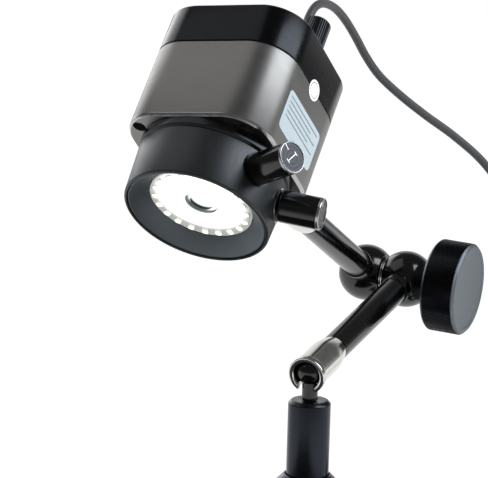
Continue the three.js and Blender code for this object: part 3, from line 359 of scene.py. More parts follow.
def machined_steel(name, colour, roughness=0.24):
    """Machined stainless steel: bright, with short scratches along the cut."""
    spread = (roughness - 0.06, roughness + 0.08)
    return grained(name, colour, 0.5 * MM, spread, 4, (1, 1, 6), tint=(1.05, 0.9), extra=METAL)


def powder_coat(name, colour):
    """Powder-coated steel: a fine leathery texture that scatters the light."""
    return grained(name, colour, 0.6 * MM, (0.44, 0.56), 3, tint=(1.1, 0.9), bump=(0.3, 0.05 * MM))


def moulded_abs(name, colour):
    """Injection-moulded ABS: an even spark-eroded grain from the tool."""
    return grained(
        name, colour, 0.25 * MM, (0.37, 0.47), tint=(1.1, 0.9), bump=(0.2, 0.02 * MM), extra=PLASTIC)


def pvc_sheath(name, colour):
    """Extruded PVC: matt, with a faint ripple."""
    return grained(
        name, colour, 1.2 * MM, (0.42, 0.56), 3, tint=(1.12, 0.9), bump=(0.1, 0.03 * MM), extra=PLASTIC)


def silicone_rubber(name, colour):
    """Moulded silicone mat: dull and slightly dusty."""
    return grained(name, colour, 2 * MM, (0.75, 0.9), 5, tint=(1.3, 0.9), bump=(0.25, 0.05 * MM))


def vinyl(name, colour):
    """Printed vinyl: satin, with a trace of the surface below."""
    return grained(name, colour, 5 * MM, 0.35, tint=(1.03, 0.97), bump=(0.05, 0.05 * MM))


def solder_mask(name, colour):
    """Epoxy solder mask over a board's copper: glossy, with the tracks just showing."""
    material, tree = new_material(name)
    where = add(tree, "ShaderNodeTexCoord")
    tracks = add(tree, "ShaderNodeTexVoronoi", {"distance": "MANHATTAN"}, {
        "Vector": where.outputs["Object"], "Scale": 1 / (3 * MM)})
    return shaded(
        material, tree, colour, 0.3, tracks.outputs["Distance"], tint=(1.35, 0.85),
        extra={"Coat Weight": 0.4})


def lit_surface(name, colour, glow):
    """A surface that shines by itself, as bright as the size of that name says."""
    shine = {"Emission Color": colour, "Emission Strength": getattr(sizes(), glow)}
    return grained(name, colour, 1.5 * MM, 0.35, tint=(1.0, 0.96), extra=shine)


def glare(tree, centre, inner, outer, bright, dim):
    """A glow that falls from bright to dim between two distances from a point in the object's own measure."""
    where = add(tree, "ShaderNodeTexCoord")
    offset = add(tree, "ShaderNodeVectorMath", {"operation": "SUBTRACT"}, {
        0: where.outputs["Object"], 1: centre})
    distance = add(tree, "ShaderNodeVectorMath", {"operation": "LENGTH"}, {0: offset.outputs["Vector"]})
    return add(tree, "ShaderNodeMapRange", {"interpolation_type": "SMOOTHSTEP"}, {
        "Value": distance.outputs["Value"], "From Min": inner, "From Max": outer,
        "To Min": bright, "To Max": dim}).outputs["Result"]


def lit_board(name, colour):
    """The white solder mask of a lit board, with the beads' glare painted on as its own glow: burnt out in
    the middle, grey between the beads.
    """
    material, tree = new_material(name)
    middle = (*BOARD_GLARE_MIDDLE, span("led_board", HEAD)[0].z)
    glow = glare(tree, middle, BOARD_BURNT, BOARD_GREY, sizes().board_glow, BOARD_DIM)
    ripple = object_noise(tree, 0.8 * MM, 3)
    shine = {"Emission Color": colour, "Emission Strength": glow}
    return shaded(material, tree, colours().board_grey, 0.35, ripple, tint=(1.4, 0.5), extra=shine)


def lit_lens(name, colour):
    """Coated glass with the light's glare painted on as its own glow: burnt out but for a dark crescent to
    the lower left, which stands in for the shadow of the cell's wall.
    """
    material, tree = new_material(name)
    middle = (*LENS_GLARE_MIDDLE, span("front_lens", HEAD)[0].z)
    bloom = glare(tree, middle, LENS_BURNT, LENS_CLEAR, LENS_BRIGHT, LENS_DIM)
    shine = {"Emission Color": colours().lens_bloom, "Emission Strength": bloom}
    return shaded(material, tree, colour, 0.05, extra={**COATED_GLASS, **shine})


def coated_glass(name, colour):
    """Ground and coated lens glass: clear, with a cool bloom from the coating."""
    material, tree = new_material(name)
    film = add(tree, "ShaderNodeLayerWeight", inputs={"Blend": 0.35})
    return shaded(
        material, tree, colour, 0.02, film.outputs["Facing"], tint=(1.2, 0.7),
        extra={**COATED_GLASS, "Transmission Weight": 0.85})


FINISHES = {
    "gunmetal_anodised_aluminium": (anodised_aluminium, "gunmetal", 0.38, AROUND),
    "black_anodised_aluminium": (anodised_aluminium, "anodised_black", 0.23, AROUND),
    "blasted_black_barrel": (anodised_aluminium, "barrel_black", 0.42, DOWN),
    "matt_black_hood": (anodised_aluminium, "hood_black", 0.55),
    "satin_black_aluminium": (anodised_aluminium, "post_black", 0.26),
    "knurled_black_aluminium": (anodised_aluminium, "anodised_black", 0.3),
    # A lighter grey than the knurl's black: a painted sheen on the clamp knob's faces
    "bead_blasted_knob_face": (anodised_aluminium, "knob_grey", 0.45),
    "turned_black_aluminium": (turned_aluminium, "ring_black", 0.34),
    # Brighter metal than the body on its underside chamfer: a painted highlight
    "cut_aluminium_edge": (turned_aluminium, "steel", 0.22),
    "black_gloss_enamel": (gloss_enamel, "enamel_black"),
    "black_powder_coat": (powder_coat, "plate_black"),
    "black_moulded_abs": (moulded_abs, "plastic_black"),
    "black_pvc_sheath": (pvc_sheath, "cord_grey"),
    "black_silicone_rubber": (silicone_rubber, "rubber_black"),
    "machined_steel": (machined_steel, "steel"),
    "polished_steel": (machined_steel, "chrome", 0.14),
    "chrome_plate": (chrome_plate, "chrome"),
    "green_solder_mask": (solder_mask, "board_green"),
    "lit_white_board": (lit_board, "board_white"),
    "lit_lens_glass": (lit_lens, "lens_dark"),
    "lit_phosphor": (lit_surface, "phosphor", "bead_glow"),
    "frosted_window": (lit_surface, "mark_white", "window_glow"),
    "coated_lens_glass": (coated_glass, "lens_coating"),
    "white_vinyl": (vinyl, "vinyl_white"),
    "white_seal_vinyl": (vinyl, "mark_white"),
    "grey_print": (vinyl, "ink"),
    "white_fill": (vinyl, "mark_white"),
}


def finish(kind):
    """The material of a kind, made the first time it is asked for."""
    if kind in bpy.data.materials:
        return bpy.data.materials[kind]
    maker, colour, *settings = FINISHES[kind]
    return maker(kind, getattr(colours(), colour), *settings)


def coat(node, kind):
    """Gives a node of the frame its finish."""
    data = frame["nodes"][node].data
    data.materials.clear()
    data.materials.append(finish(kind))


# Forms

# How many sides round forms have, from wide ones to small ones, and the steps of a hub's belly
WIDE_SIDES = 160
BOARD_SIDES = 128
SIDES = 96
ROD_SIDES = 80
SEAT_SIDES = 64
SMALL_SIDES = 48
HOLE_SIDES = 32
BEAD_SIDES = 24
BELLY_STEPS = 40


def eased(profile, ease, steps=2):
    """Rounds each sharp corner of a whole profile, so that its edge catches the light. Points on the axis
    and those along an arc stay."""
    rounded = []
    for i, here in enumerate(profile):
        corner = Vector(here)
        before = Vector(profile[i - 1]) - corner
        after = Vector(profile[(i + 1) % len(profile)]) - corner
        if corner.x == 0 or math.pi - before.angle(after) < ARC_STEP:
            rounded.append(corner)
            continue
        start = corner + before.normalized() * min(ease, before.length / 2)
        end = corner + after.normalized() * min(ease, after.length / 2)
        for k in range(steps + 1):
            share = k / steps
            near = start.lerp(corner, share)
            rounded.append(near.lerp(corner.lerp(end, share), share))
    return rounded


def skin(name, rings, closed=False):
    """A mesh skinned over rings of corners; a ring of one corner is a tip, and open ends are capped."""
    corners = [corner for ring in rings for corner in ring]
    starts = [sum(len(ring) for ring in rings[:i]) for i in range(len(rings))]
    faces = []
    pairs = list(zip(range(len(rings)), range(1, len(rings))))
    if closed:
        pairs.append((len(rings) - 1, 0))
    for i, j in pairs:
        sides = max(len(rings[i]), len(rings[j]))
        for k in range(sides):
            n = (k + 1) % sides
            here = [starts[i]] if len(rings[i]) == 1 else [starts[i] + k, starts[i] + n]
            there = [starts[j]] if len(rings[j]) == 1 else [starts[j] + n, starts[j] + k]
            if len(here) + len(there) > 2:
                faces.append(here + there)
    if not closed:
        for i in (0, len(rings) - 1):
            if len(rings[i]) > 1:
                ring = [starts[i] + k for k in range(len(rings[i]))]
                faces.append(ring if i else ring[::-1])
    mesh = bpy.data.meshes.new(name)
    mesh.from_pydata(corners, [], faces)
    return mesh


def welded(mesh):
    """Joins corners that coincide, drops faces with no area, and shades smooth up to the edges."""
    work = bmesh.new()
    work.from_mesh(mesh)
    bmesh.ops.remove_doubles(work, verts=work.verts, dist=WELD)
    bmesh.ops.dissolve_degenerate(work, dist=WELD, edges=work.edges)
    work.to_mesh(mesh)
    work.free()
    mesh.shade_smooth()
    mesh.set_sharp_from_angle(angle=SHARP_ANGLE)


def in_scene(name, data, place):
    """An object of that data, set in its place in the scene."""
    made = bpy.data.objects.new(name, data)
    bpy.context.scene.collection.objects.link(made)
    made.matrix_world = place
    return made


def in_place(name, mesh, place):
    """An object of that mesh, welded and set in its place."""
    welded(mesh)
    return in_scene(name, mesh, place)


def turned(name, profile, place, sides=SIDES, teeth=0, tooth_depth=0.0, toothed=(0, 0)):
    """A solid turned about Z. Points between the two toothed heights on its rim carry straight knurling."""
    rim = max(radius for radius, _ in profile)
    if teeth:
        sides = 4 * teeth
    rings = []
    for radius, height in profile:
        if radius == 0:
            rings.append([(0, 0, height)])
            continue
        cuts = teeth and toothed[0] <= height <= toothed[1] and radius > rim - 2 * tooth_depth
        ring = []
        for k in range(sides):
            turn = 2 * math.pi * k / sides
            here = radius - (tooth_depth if cuts and k % 4 > 1 else 0)
            ring.append((here * math.cos(turn), here * math.sin(turn), height))
        rings.append(ring)
    on_axis = profile[0][0] == 0 and profile[-1][0] == 0
    area = sum(
        a[0] * b[1] - b[0] * a[1] for a, b in zip(profile, list(profile[1:]) + [profile[0]]))
    if area < 0:
        rings.reverse()
    return in_place(name, skin(name, rings, closed=not on_axis), place)


def pin(name, radius, low, high, place, sides=SMALL_SIDES):
    """A plain round solid from one height to another."""
    return turned(name, [(0, low), (radius, low), (radius, high), (0, high)], place, sides)


def arc(radius, start, end, steps):
    """Points along an arc about the origin, with both ends."""
    turns = [start + (end - start) * k / steps for k in range(steps + 1)]
    return [(radius * math.cos(turn), radius * math.sin(turn)) for turn in turns]


def outline(width, depth, corner, height, steps=14):
    """A rounded rectangle's corners, anticlockwise, at one height."""
    points = []
    for i, (x, y) in enumerate([(1, 1), (-1, 1), (-1, -1), (1, -1)]):
        middle = (x * (width / 2 - corner), y * (depth / 2 - corner))
        for k in range(steps + 1):
            turn = (i + k / steps) * math.pi / 2
            points.append((middle[0] + corner * math.cos(turn), middle[1] + corner * math.sin(turn), height))
    return points


def stacked(name, layers, place, steps=14):
    """A solid skinned over rounded rectangles; a layer is its width, depth, corner and height, going up."""
    return in_place(name, skin(name, [outline(*layer, steps=steps) for layer in layers]), place)


def inset_layers(width, depth, corner, steps, follow=1):
    """Layers of a stack from insets and heights; follow is the share of an inset that a corner shrinks by."""
    return [
        (width - 2 * inset, depth - 2 * inset, corner - follow * inset, height) for inset, height in steps]


def eased_block(name, width, depth, corner, low, high, ease, place, steps, follow):
    """A rounded block with both ends eased."""
    ends = [(ease, low), (ease / 4, low + ease / 3), (0, low + ease),
            (0, high - ease), (ease / 4, high - ease / 3), (ease, high)]
    return stacked(name, inset_layers(width, depth, corner, ends, follow), place, steps)


def box(name, low, high, place):
    """A plain box between its lowest and highest corner."""
    corners = [(low[0], low[1]), (high[0], low[1]), (high[0], high[1]), (low[0], high[1])]
    rings = [[(x, y, height) for x, y in corners] for height in (low[2], high[2])]
    return in_place(name, skin(name, rings), place)


def tube(name, points, radius, sides=16):
    """A solid round bar along a line of points, with its cross-section carried smoothly between them."""
    rings = []
    across = None
    for i, here in enumerate(points):
        ahead = (points[min(i + 1, len(points) - 1)] - points[max(i - 1, 0)]).normalized()
        if across is None:
            across = ahead.orthogonal()
        across = (across - ahead * across.dot(ahead)).normalized()
        over = ahead.cross(across)
        rings.append([
            here + radius * (math.cos(turn) * across + math.sin(turn) * over)
            for turn in (2 * math.pi * k / sides for k in range(sides))])
    return in_place(name, skin(name, rings), Matrix.Identity(4))


def settle(piece):
    """Takes a piece's modifiers into its mesh."""
    graph = bpy.context.evaluated_depsgraph_get()
    mesh = bpy.data.meshes.new_from_object(piece.evaluated_get(graph))
    piece.modifiers.clear()
    piece.data = mesh
    welded(mesh)


def combine(piece, operation, tools):
    """Adds the tools to a piece or cuts them out of it, and deletes them."""
    for tool in tools:
        change = piece.modifiers.new("combine", "BOOLEAN")
        change.operation = operation
        change.solver = "EXACT"
        change.object = tool
    settle(piece)
    for tool in tools:
        bpy.data.objects.remove(tool)
    return piece


def dress(piece, body, kind, replaced=()):
    """Gives a new piece its finish, its body and the nodes that it stands for."""
    piece.data.materials.clear()
    piece.data.materials.append(finish(kind))
    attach(piece, body)
    if replaced:
        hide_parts(*replaced)
    return piece


def coat_faces(piece, kind, chosen):
    """Gives the chosen faces of a piece a second finish."""
    piece.data.materials.append(finish(kind))
    for face in piece.data.polygons:
        face.material_index = 1 if chosen(face) else 0


def join_pieces(name, pieces):
    """One piece from many of the same finish."""
    with bpy.context.temp_override(
            active_object=pieces[0], object=pieces[0], selected_objects=pieces,
            selected_editable_objects=pieces):
        bpy.ops.object.join()
    pieces[0].name = name
    return pieces[0]


# The stage

CAMERA_PLACE = Vector((0.41991, -0.93279, 0.34501))
CAMERA_TILT = math.radians(78.5)
CAMERA_HEADING = math.radians(24.0)
CAMERA_ROLL = math.radians(1.59)
CAMERA_LENS = 221.3
SENSOR_WIDTH = 36
FLOOR_SIZE = 30
FLOOR_DROP = 0.2 * MM
TABLE_MIDDLE = (-0.5, 0.9, 0)
TABLE_NEAR = 1.1
TABLE_FAR = 1.9
TABLE_DIM = 0.2
WALL_SIDE = (-0.35, 0.9, -0.35)
WALL_EDGE = 0.45
WALL_FULL = 0.8
WALL_LIGHT = 0.9
ROOM_DARK = 0.1
PAPER_FIBRE = 3 * MM
PAPER_SHADE = 0.99
PAPER_OWN_WHITE = 0.8
LAMPS = {
    "key": {"from": (0.77, 0.22, 0.6), "turn": 35, "distance": 1.3, "size": (0.58, 1.25), "power": 12.3,
            "colour": "#F4F9FF"},
    "left": {"from": (-0.82, 0.45, 0.35), "turn": 0, "distance": 1.5, "size": (1.2, 1), "power": 6.5,
             "colour": "#FFFFFF"},
    "overhead": {"from": (-0.5, -0.2, 0.84), "turn": 0, "distance": 1.5, "size": (1.2, 1.2), "power": 2.6,
                 "colour": "#FFFFFF"},
}


def make_camera():
    """The camera at the photograph's angle."""
    data = bpy.data.cameras.new("photo_camera")
    data.sensor_width = SENSOR_WIDTH
    data.lens = CAMERA_LENS
    data.clip_end = 2 * FLOOR_SIZE
    turns = [(CAMERA_HEADING, "Z"), (CAMERA_TILT, "X"), (CAMERA_ROLL, "Z")]
    place = Matrix.Translation(CAMERA_PLACE)
    for angle, about in turns:
        place = place @ Matrix.Rotation(angle, 4, about)
    bpy.context.scene.camera = in_scene("photo_camera", data, place)


def make_floor():
    """A white paper table. The camera sees it mostly by its own white, so that only a soft shadow shows;
    gloss sees it white near the object and darkening towards the far side of the room."""
    material, tree = new_material("white_paper_sweep")
    path = add(tree, "ShaderNodeLightPath").outputs
    paper = colours().paper
    fibre = add(tree, "ShaderNodeMix", {"data_type": "RGBA"}, {
        "Factor": object_noise(tree, PAPER_FIBRE),
        "A": (*(c * PAPER_SHADE for c in paper[:3]), 1),
        "B": paper,
    })
    matt = add(tree, "ShaderNodeBsdfDiffuse", inputs={"Color": fibre.outputs["Result"]})
    near = glare(tree, TABLE_MIDDLE, TABLE_NEAR, TABLE_FAR, 1.0, TABLE_DIM)
    clear = add(tree, "ShaderNodeMath", {"operation": "MAXIMUM"}, {
        0: path["Is Camera Ray"], 1: path["Is Transmission Ray"]})
    strength = add(tree, "ShaderNodeMath", {"operation": "MAXIMUM"}, {0: near, 1: clear.outputs[0]})
    white = add(tree, "ShaderNodeEmission", inputs={"Color": (1, 1, 1, 1), "Strength": strength.outputs[0]})
    own = add(tree, "ShaderNodeMath", {"operation": "MULTIPLY"}, {0: clear.outputs[0], 1: PAPER_OWN_WHITE})
    share = add(tree, "ShaderNodeMath", {"operation": "MAXIMUM"}, {
        0: own.outputs[0], 1: path["Is Glossy Ray"]})
    mixed = add(tree, "ShaderNodeMixShader", inputs={
        0: share.outputs[0], 1: matt.outputs[0], 2: white.outputs[0]})
    finished(material, tree, mixed)
    half = FLOOR_SIZE / 2
    mesh = bpy.data.meshes.new("floor")
    corners = [(-half, -half, 0), (half, -half, 0), (half, half, 0), (-half, half, 0)]
    mesh.from_pydata(corners, [], [(0, 1, 2, 3)])
    mesh.materials.append(material)
    in_scene("floor", mesh, Matrix.Translation((0, 0, -FLOOR_DROP)))


def make_world():
    """White all round for the camera and for plain light; gloss sees a dim room with a white wall behind."""
    world = bpy.data.worlds.new("studio")
    bpy.context.scene.world = world
    world.use_nodes = True
    tree = world.node_tree
    tree.nodes.clear()
    where = add(tree, "ShaderNodeTexCoord")
    towards_wall = add(tree, "ShaderNodeVectorMath", {"operation": "DOT_PRODUCT"}, {
        0: where.outputs["Generated"], 1: WALL_SIDE})
    room = add(tree, "ShaderNodeMapRange", {"interpolation_type": "SMOOTHSTEP"}, {
        "Value": towards_wall.outputs["Value"], "From Min": WALL_EDGE, "From Max": WALL_FULL,
        "To Min": ROOM_DARK, "To Max": WALL_LIGHT})
    gloss = add(tree, "ShaderNodeLightPath").outputs["Is Glossy Ray"]
    strength = add(tree, "ShaderNodeMix", inputs={"Factor": gloss, "A": 1.0, "B": room.outputs["Result"]})
    sky = add(tree, "ShaderNodeBackground", inputs={
        "Color": (1, 1, 1, 1), "Strength": strength.outputs["Result"]})
    add(tree, "ShaderNodeOutputWorld", inputs={"Surface": sky.outputs[0]})


def make_lamps():
    """Soft rectangular lamps round the middle of the part."""
    low, high = cad_box
    middle = (low + high) / 2
    for name, lamp in LAMPS.items():
        data = bpy.data.lights.new(name, "AREA")
        data.shape = "RECTANGLE"
        data.size, data.size_y = lamp["size"]
        data.energy = lamp["power"]
        data.color = srgb(lamp["colour"])[:3]
        towards = Vector(lamp["from"]).normalized()
        turn = Matrix.Rotation(math.radians(lamp["turn"]), 4, "Z")
        in_scene(name, data, upright(middle + towards * lamp["distance"], towards) @ turn)


class MICROSCOPE_OT_stage(bpy.types.Operator):
    """Sets up the camera, the white sweep, the world and the lamps"""

    bl_idname = "microscope.stage"
    bl_label = "Stage"

    def execute(self, context):
        make_camera()
        make_world()
        make_floor()
        make_lamps()
        context.scene.view_settings.view_transform = "Standard"
        return {"FINISHED"}


# The lead

CORD_ROUTE = [
    (-14.5, 94.8, 200.8), (-14.5, 98.2, 204), (-14.5, 102.5, 206.3), (-14.4, 108, 207.1),
    (-14.3, 115, 206.1), (-14, 123, 203.2), (-13.4, 131, 198.2), (-12.4, 139.5, 190.8),
    (-11, 147, 182.8), (-8.4, 155, 174.6), (-3, 165, 165.8), (4, 176, 156.8),
    (12, 188, 147.5), (21, 199, 136), (28.5, 207, 122), (35, 211.5, 103),
    (41, 213, 81), (46, 212, 57), (50, 209, 33), (54, 206.5, 14),
    (58.5, 203.5, 4.8), (64, 197.5, 2.4), (68.6, 189, 2.2), (70.4, 178, 2.7),
    (70.5, 166.3, 2.95),
]
ROUTE_STEPS = 8
COIL_CENTRE = (45, 161)
COIL_MIDDLE_RADIUS = 18
COIL_TURNS = 7.25
COIL_LAYERS = 2
COIL_PITCH = 4
COIL_STEPS = 48
COIL_EXTRA_TURN = 1 / 8
CLIMB_TURNS = 1 / 2
COIL_LOW = 2.95
COIL_TAIL = 30
TAIL_STEPS = 12
TAIL_END_HEIGHT = 4
TAIL_STRAIGHT = 3.3


def smooth_route(points, steps):
    """Points on a smooth curve through the given ones, steps to each stretch."""
    first, last = 2 * points[0] - points[1], 2 * points[-1] - points[-2]
    padded = [first, *points, last]
    made = []
    for a, b, c, d in zip(padded, padded[1:], padded[2:], padded[3:]):
        before, here, after = ((q - p).length ** 0.5 for p, q in ((a, b), (b, c), (c, d)))
        leave = ((b - a) / before - (c - a) / (before + here) + (c - b) / here) * here
        arrive = ((c - b) / here - (d - b) / (here + after) + (d - c) / after) * here
        for k in range(steps):
            s = k / steps
            made.append(
                b * (2 * s**3 - 3 * s**2 + 1) + c * (3 * s**2 - 2 * s**3)
                + leave * (s**3 - 2 * s**2 + s) + arrive * (s**3 - s**2))
    return made + [points[-1]]


def coil_line():
    """Two flat layers of turns: inwards below, up a layer where the spiral turns back, outwards above."""
    reversal = COIL_TURNS / COIL_LAYERS + COIL_EXTRA_TURN
    outer = COIL_MIDDLE_RADIUS + reversal * COIL_PITCH / 2
    points = []
    steps = round(COIL_TURNS * COIL_STEPS)
    for i in range(steps + 1):
        turns = COIL_TURNS * i / steps
        inset = COIL_PITCH * (turns if turns < reversal else 2 * reversal - turns)
        climbed = min(1, max(0, (turns - reversal) / CLIMB_TURNS + 1 / 2))
        angle = -2 * math.pi * turns
        points.append(Vector((
            COIL_CENTRE[0] + (outer - inset) * math.cos(angle),
            COIL_CENTRE[1] + (outer - inset) * math.sin(angle),
            COIL_LOW + COIL_PITCH * (1 - math.cos(math.pi * climbed)) / 2)))
    leaving = points[-1]
    for i in range(1, TAIL_STEPS + 1):
        share = i / TAIL_STEPS
        fall = (1 - math.cos(math.pi * share)) / 2
        points.append(leaving + Vector((
            -COIL_TAIL * share, 0, (TAIL_END_HEIGHT - leaving.z) * fall)))
    points.append(points[-1] - Vector((TAIL_STRAIGHT, 0, 0)))
    return points


def make_cord():
    """The lead's sheath and the line that it follows."""
    route = smooth_route([Vector(p) for p in CORD_ROUTE], ROUTE_STEPS)
    line = [p * MM for p in route + coil_line()]
    radius = sizes().cord_diameter / 2
    cord = dress(tube("lead_sheath", line, radius), "stand", "black_pvc_sheath",
                 ["cord_run", "cord_coil"])
    return cord, line


def make_far_plug():
    """The USB-A plug: a moulded body, a ribbed relief and a folded steel shell round its tongue."""
    low, high = span("usb_a_plug")
    middle = (low + high) / 2
    place = placed(Vector((high.x, middle.y, middle.z)), Vector((0, 0, -1)), Vector((0, 1, 0)))
    height, width = high.z - low.z, high.y - low.y
    relief, body_end, shell_end = 9 * MM, 31 * MM, high.x - low.x
    shell_height, shell_width, wall = 4.5 * MM, 12 * MM, 0.4 * MM
    ease, corner = 0.8 * MM, 2 * MM
    body = eased_block("usb_a_body", height, width, corner, relief, body_end, ease, place, 6, follow=0)
    dress(body, "stand", "black_moulded_abs", ["usb_a_plug"])
    neck = turned("usb_a_relief", ribbed_relief(relief), place, RELIEF_SIDES)
    dress(neck, "stand", "black_pvc_sheath")
    inner = (shell_height - 2 * wall, shell_width - 2 * wall)
    shell = stacked("usb_a_shell", [
        (shell_height, shell_width, ease / 2, body_end - ease),
        (shell_height, shell_width, ease / 2, shell_end),
        (*inner, ease / 4, shell_end),
        (*inner, ease / 4, body_end + ease),
    ], place, steps=4)
    dress(shell, "stand", "machined_steel")
    tongue = box("usb_a_tongue", (0, -inner[1] / 2, body_end),
                 (inner[0] / 2, inner[1] / 2, shell_end - wall), place)
    dress(tongue, "stand", "black_moulded_abs")
    return [body, neck, shell, tongue]


RELIEF_THIN = 2.2 * MM
RELIEF_THICK = 3.1 * MM
RELIEF_GROOVE = 0.45 * MM
RELIEF_RIBS = 4
RELIEF_SIDES = 40


def ribbed_relief(length):
    """A strain relief's profile: a taper from thin to thick, cut into ribs that let it bend."""
    profile = [(0, 0)]
    for i in range(RELIEF_RIBS):
        for share, cut in ((0.0, 0), (0.55, 0), (0.6, RELIEF_GROOVE), (0.95, RELIEF_GROOVE)):
            along = (i + share) / RELIEF_RIBS
            radius = RELIEF_THIN + (RELIEF_THICK - RELIEF_THIN) * along
            profile.append((radius - cut, length * along))
    end = length + RELIEF_GROOVE
    return [*profile, (RELIEF_THICK, length), (RELIEF_THICK, end), (0, end)]


def make_head_plug():
    """The USB-C plug in the top of the head, with its ribbed relief."""
    low, high = span("usb_c_plug", HEAD)
    socket_low, socket_high = span("usb_c_socket", HEAD)
    middle = Vector(((socket_low.x + socket_high.x) / 2, (socket_low.y + socket_high.y) / 2, 0))
    base = span("brightness_knob", HEAD)[0].z
    place = HEAD @ Matrix.Translation((middle.x, middle.y, base))
    width, depth = high.x - low.x, high.y - low.y
    body_length, ease, corner = 15.4 * MM, 0.7 * MM, 2.8 * MM
    body = eased_block("usb_c_body", width, depth, corner, 0, body_length, ease, place, 8, follow=1)
    dress(body, "head", "black_moulded_abs", ["usb_c_plug"])
    end = high.z - base
    turn = place @ Matrix.Translation((0, 0, end)) @ Matrix.Rotation(math.pi, 4, "X")
    relief = turned("usb_c_relief", ribbed_relief(end - body_length), turn, RELIEF_SIDES)
    dress(relief, "head", "black_pvc_sheath")
    across, thick = 8.2 * MM, 2.5 * MM
    rounding = thick / 2 - ease / 8
    ends = [(0, low.z - base), (0, ease)]
    tongue = stacked("usb_c_tongue", inset_layers(across, thick, rounding, ends), place, steps=8)
    dress(tongue, "head", "machined_steel")
    return place @ Vector((0, 0, end)), [body, relief, tongue]


class MICROSCOPE_OT_lead(bpy.types.Operator):
    """Makes the lead and its two plugs, and finishes its ties"""

    bl_idname = "microscope.lead"
    bl_label = "Lead"

    def execute(self, context):
        leaves, near_pieces = make_head_plug()
        far_pieces = make_far_plug()
        cord, line = make_cord()
        ties = ("cord_tie_1", "cord_tie_2")
        for node in ties:
            coat(node, "black_moulded_abs")
        return {"FINISHED"}


# The stand


def make_plate():
    """The slab, chamfered all round, with a seat for the post's screw sunk into it from below."""
    low, high = span("base_plate")
    middle = Matrix.Translation(((low.x + high.x) / 2, (low.y + high.y) / 2, 0))
    width, depth, corner = high.x - low.x, high.y - low.y, 8 * MM
    chamfer, ease = 1 * MM, sizes().edge_ease
    plate = stacked("base_slab", [
        (width - 2 * chamfer, depth - 2 * chamfer, corner - chamfer, low.z),
        (width, depth, corner, low.z + chamfer),
        (width, depth, corner, high.z - chamfer),
        (width - ease, depth - ease, corner - ease / 2, high.z - chamfer + ease),
        (width - 2 * chamfer + ease, depth - 2 * chamfer + ease, corner - chamfer, high.z - ease / 2),
        (width - 2 * chamfer - ease, depth - 2 * chamfer - ease, corner - chamfer, high.z),
    ], middle)
    head, shank, shank_start = 6.1 * MM, 3.3 * MM, 5 * MM
    sink = turned("sink", [
        (0, 0), (head, 0), (head, low.z + ease), (shank, shank_start), (shank, 2 * high.z),
        (0, 2 * high.z)], STAND, SMALL_SIDES)
    combine(plate, "DIFFERENCE", [sink])
    dress(plate, "stand", "black_powder_coat", ["base_plate"])


def make_foot():
    """The collar round the post's lower end, sloping in towards it."""
    low, high = span("post_foot", STAND)
    radius, bore, lip = reach("post_foot", STAND), reach("post", STAND) + 0.3 * MM, 0.6 * MM
    slope = radius - bore - lip
    foot = turned("post_collar", eased([
        (bore, low.z), (radius, low.z), (radius, high.z - slope), (bore + lip, high.z), (bore, high.z)],
        sizes().edge_ease), STAND)
    dress(foot, "stand", "satin_black_aluminium", ["post_foot"])


def make_post():
    """The post, chamfered at its top and bored for the stub of the ball."""
    low, high = span("post", STAND)
    radius, chamfer = reach("post", STAND), 1.2 * MM
    bore, bore_end = 2.8 * MM, high.z - 10.6 * MM
    post = turned("post_bar", eased([
        (0, low.z), (radius, low.z), (radius, high.z - chamfer), (radius - chamfer, high.z),
        (bore, high.z), (bore, bore_end), (0, bore_end)], sizes().edge_ease), STAND)
    dress(post, "stand", "satin_black_aluminium", ["post"])


class MICROSCOPE_OT_stand(bpy.types.Operator):
    """Makes the base plate, the post and its foot, and finishes the mat and the screw"""

    bl_idname = "microscope.stand"
    bl_label = "Stand"

    def execute(self, context):
        make_plate()
        make_foot()
        make_post()
        coat("base_mat", "black_silicone_rubber")
        coat("post_screw", "machined_steel")
        return {"FINISHED"}


# The arm

BALL_RADIUS = 5.2 * MM
HUB_BORE = 3.3 * MM
STUD_NECK = {"lower_ball_stud": 3 * MM, "head_ball_stud": 2.75 * MM}


def ball_arc(radius, neck_radius, steps=14):
    """A ball's outline from its neck up to its top."""
    return arc(radius, -math.acos(neck_radius / radius), math.pi / 2, steps)[:-1] + [(0, radius)]


def make_ball_studs():
    """The ball on the post, and the one that screws into the back of the head."""
    ease = sizes().edge_ease
    place = Matrix.Translation(LOWER_BALL)
    low = span("lower_ball_stud", place)[0].z
    neck, stub, stub_top = STUD_NECK["lower_ball_stud"], 2.5 * MM, -10.6 * MM
    profile = [(0, low), (stub, low), (stub, stub_top), (neck, stub_top), *ball_arc(BALL_RADIUS, neck)]
    ball = turned("post_ball", profile, place)
    dress(ball, "ball_stud", "black_gloss_enamel", ["lower_ball_stud"])

    place = upright(UPPER_BALL, HEAD_BACK)
    low = span("head_ball_stud", place)[0]
    neck, stub = STUD_NECK["head_ball_stud"], 3 * MM
    shoulder, chamfer = reach("head_ball_stud", place), 0.8 * MM
    top, thread = -9.5 * MM, 6 * MM
    bottom = low.z + thread
    profile = [
        (0, low.z), (stub, low.z), (stub, bottom), (shoulder - chamfer, bottom), (shoulder, bottom + chamfer),
        (shoulder, top - chamfer), (shoulder - chamfer, top), (neck, top), *ball_arc(BALL_RADIUS, neck)]
    ball = turned("head_ball", eased(profile, ease / 2), place)
    dress(ball, "head_stud", "satin_black_aluminium", ["head_ball_stud"])


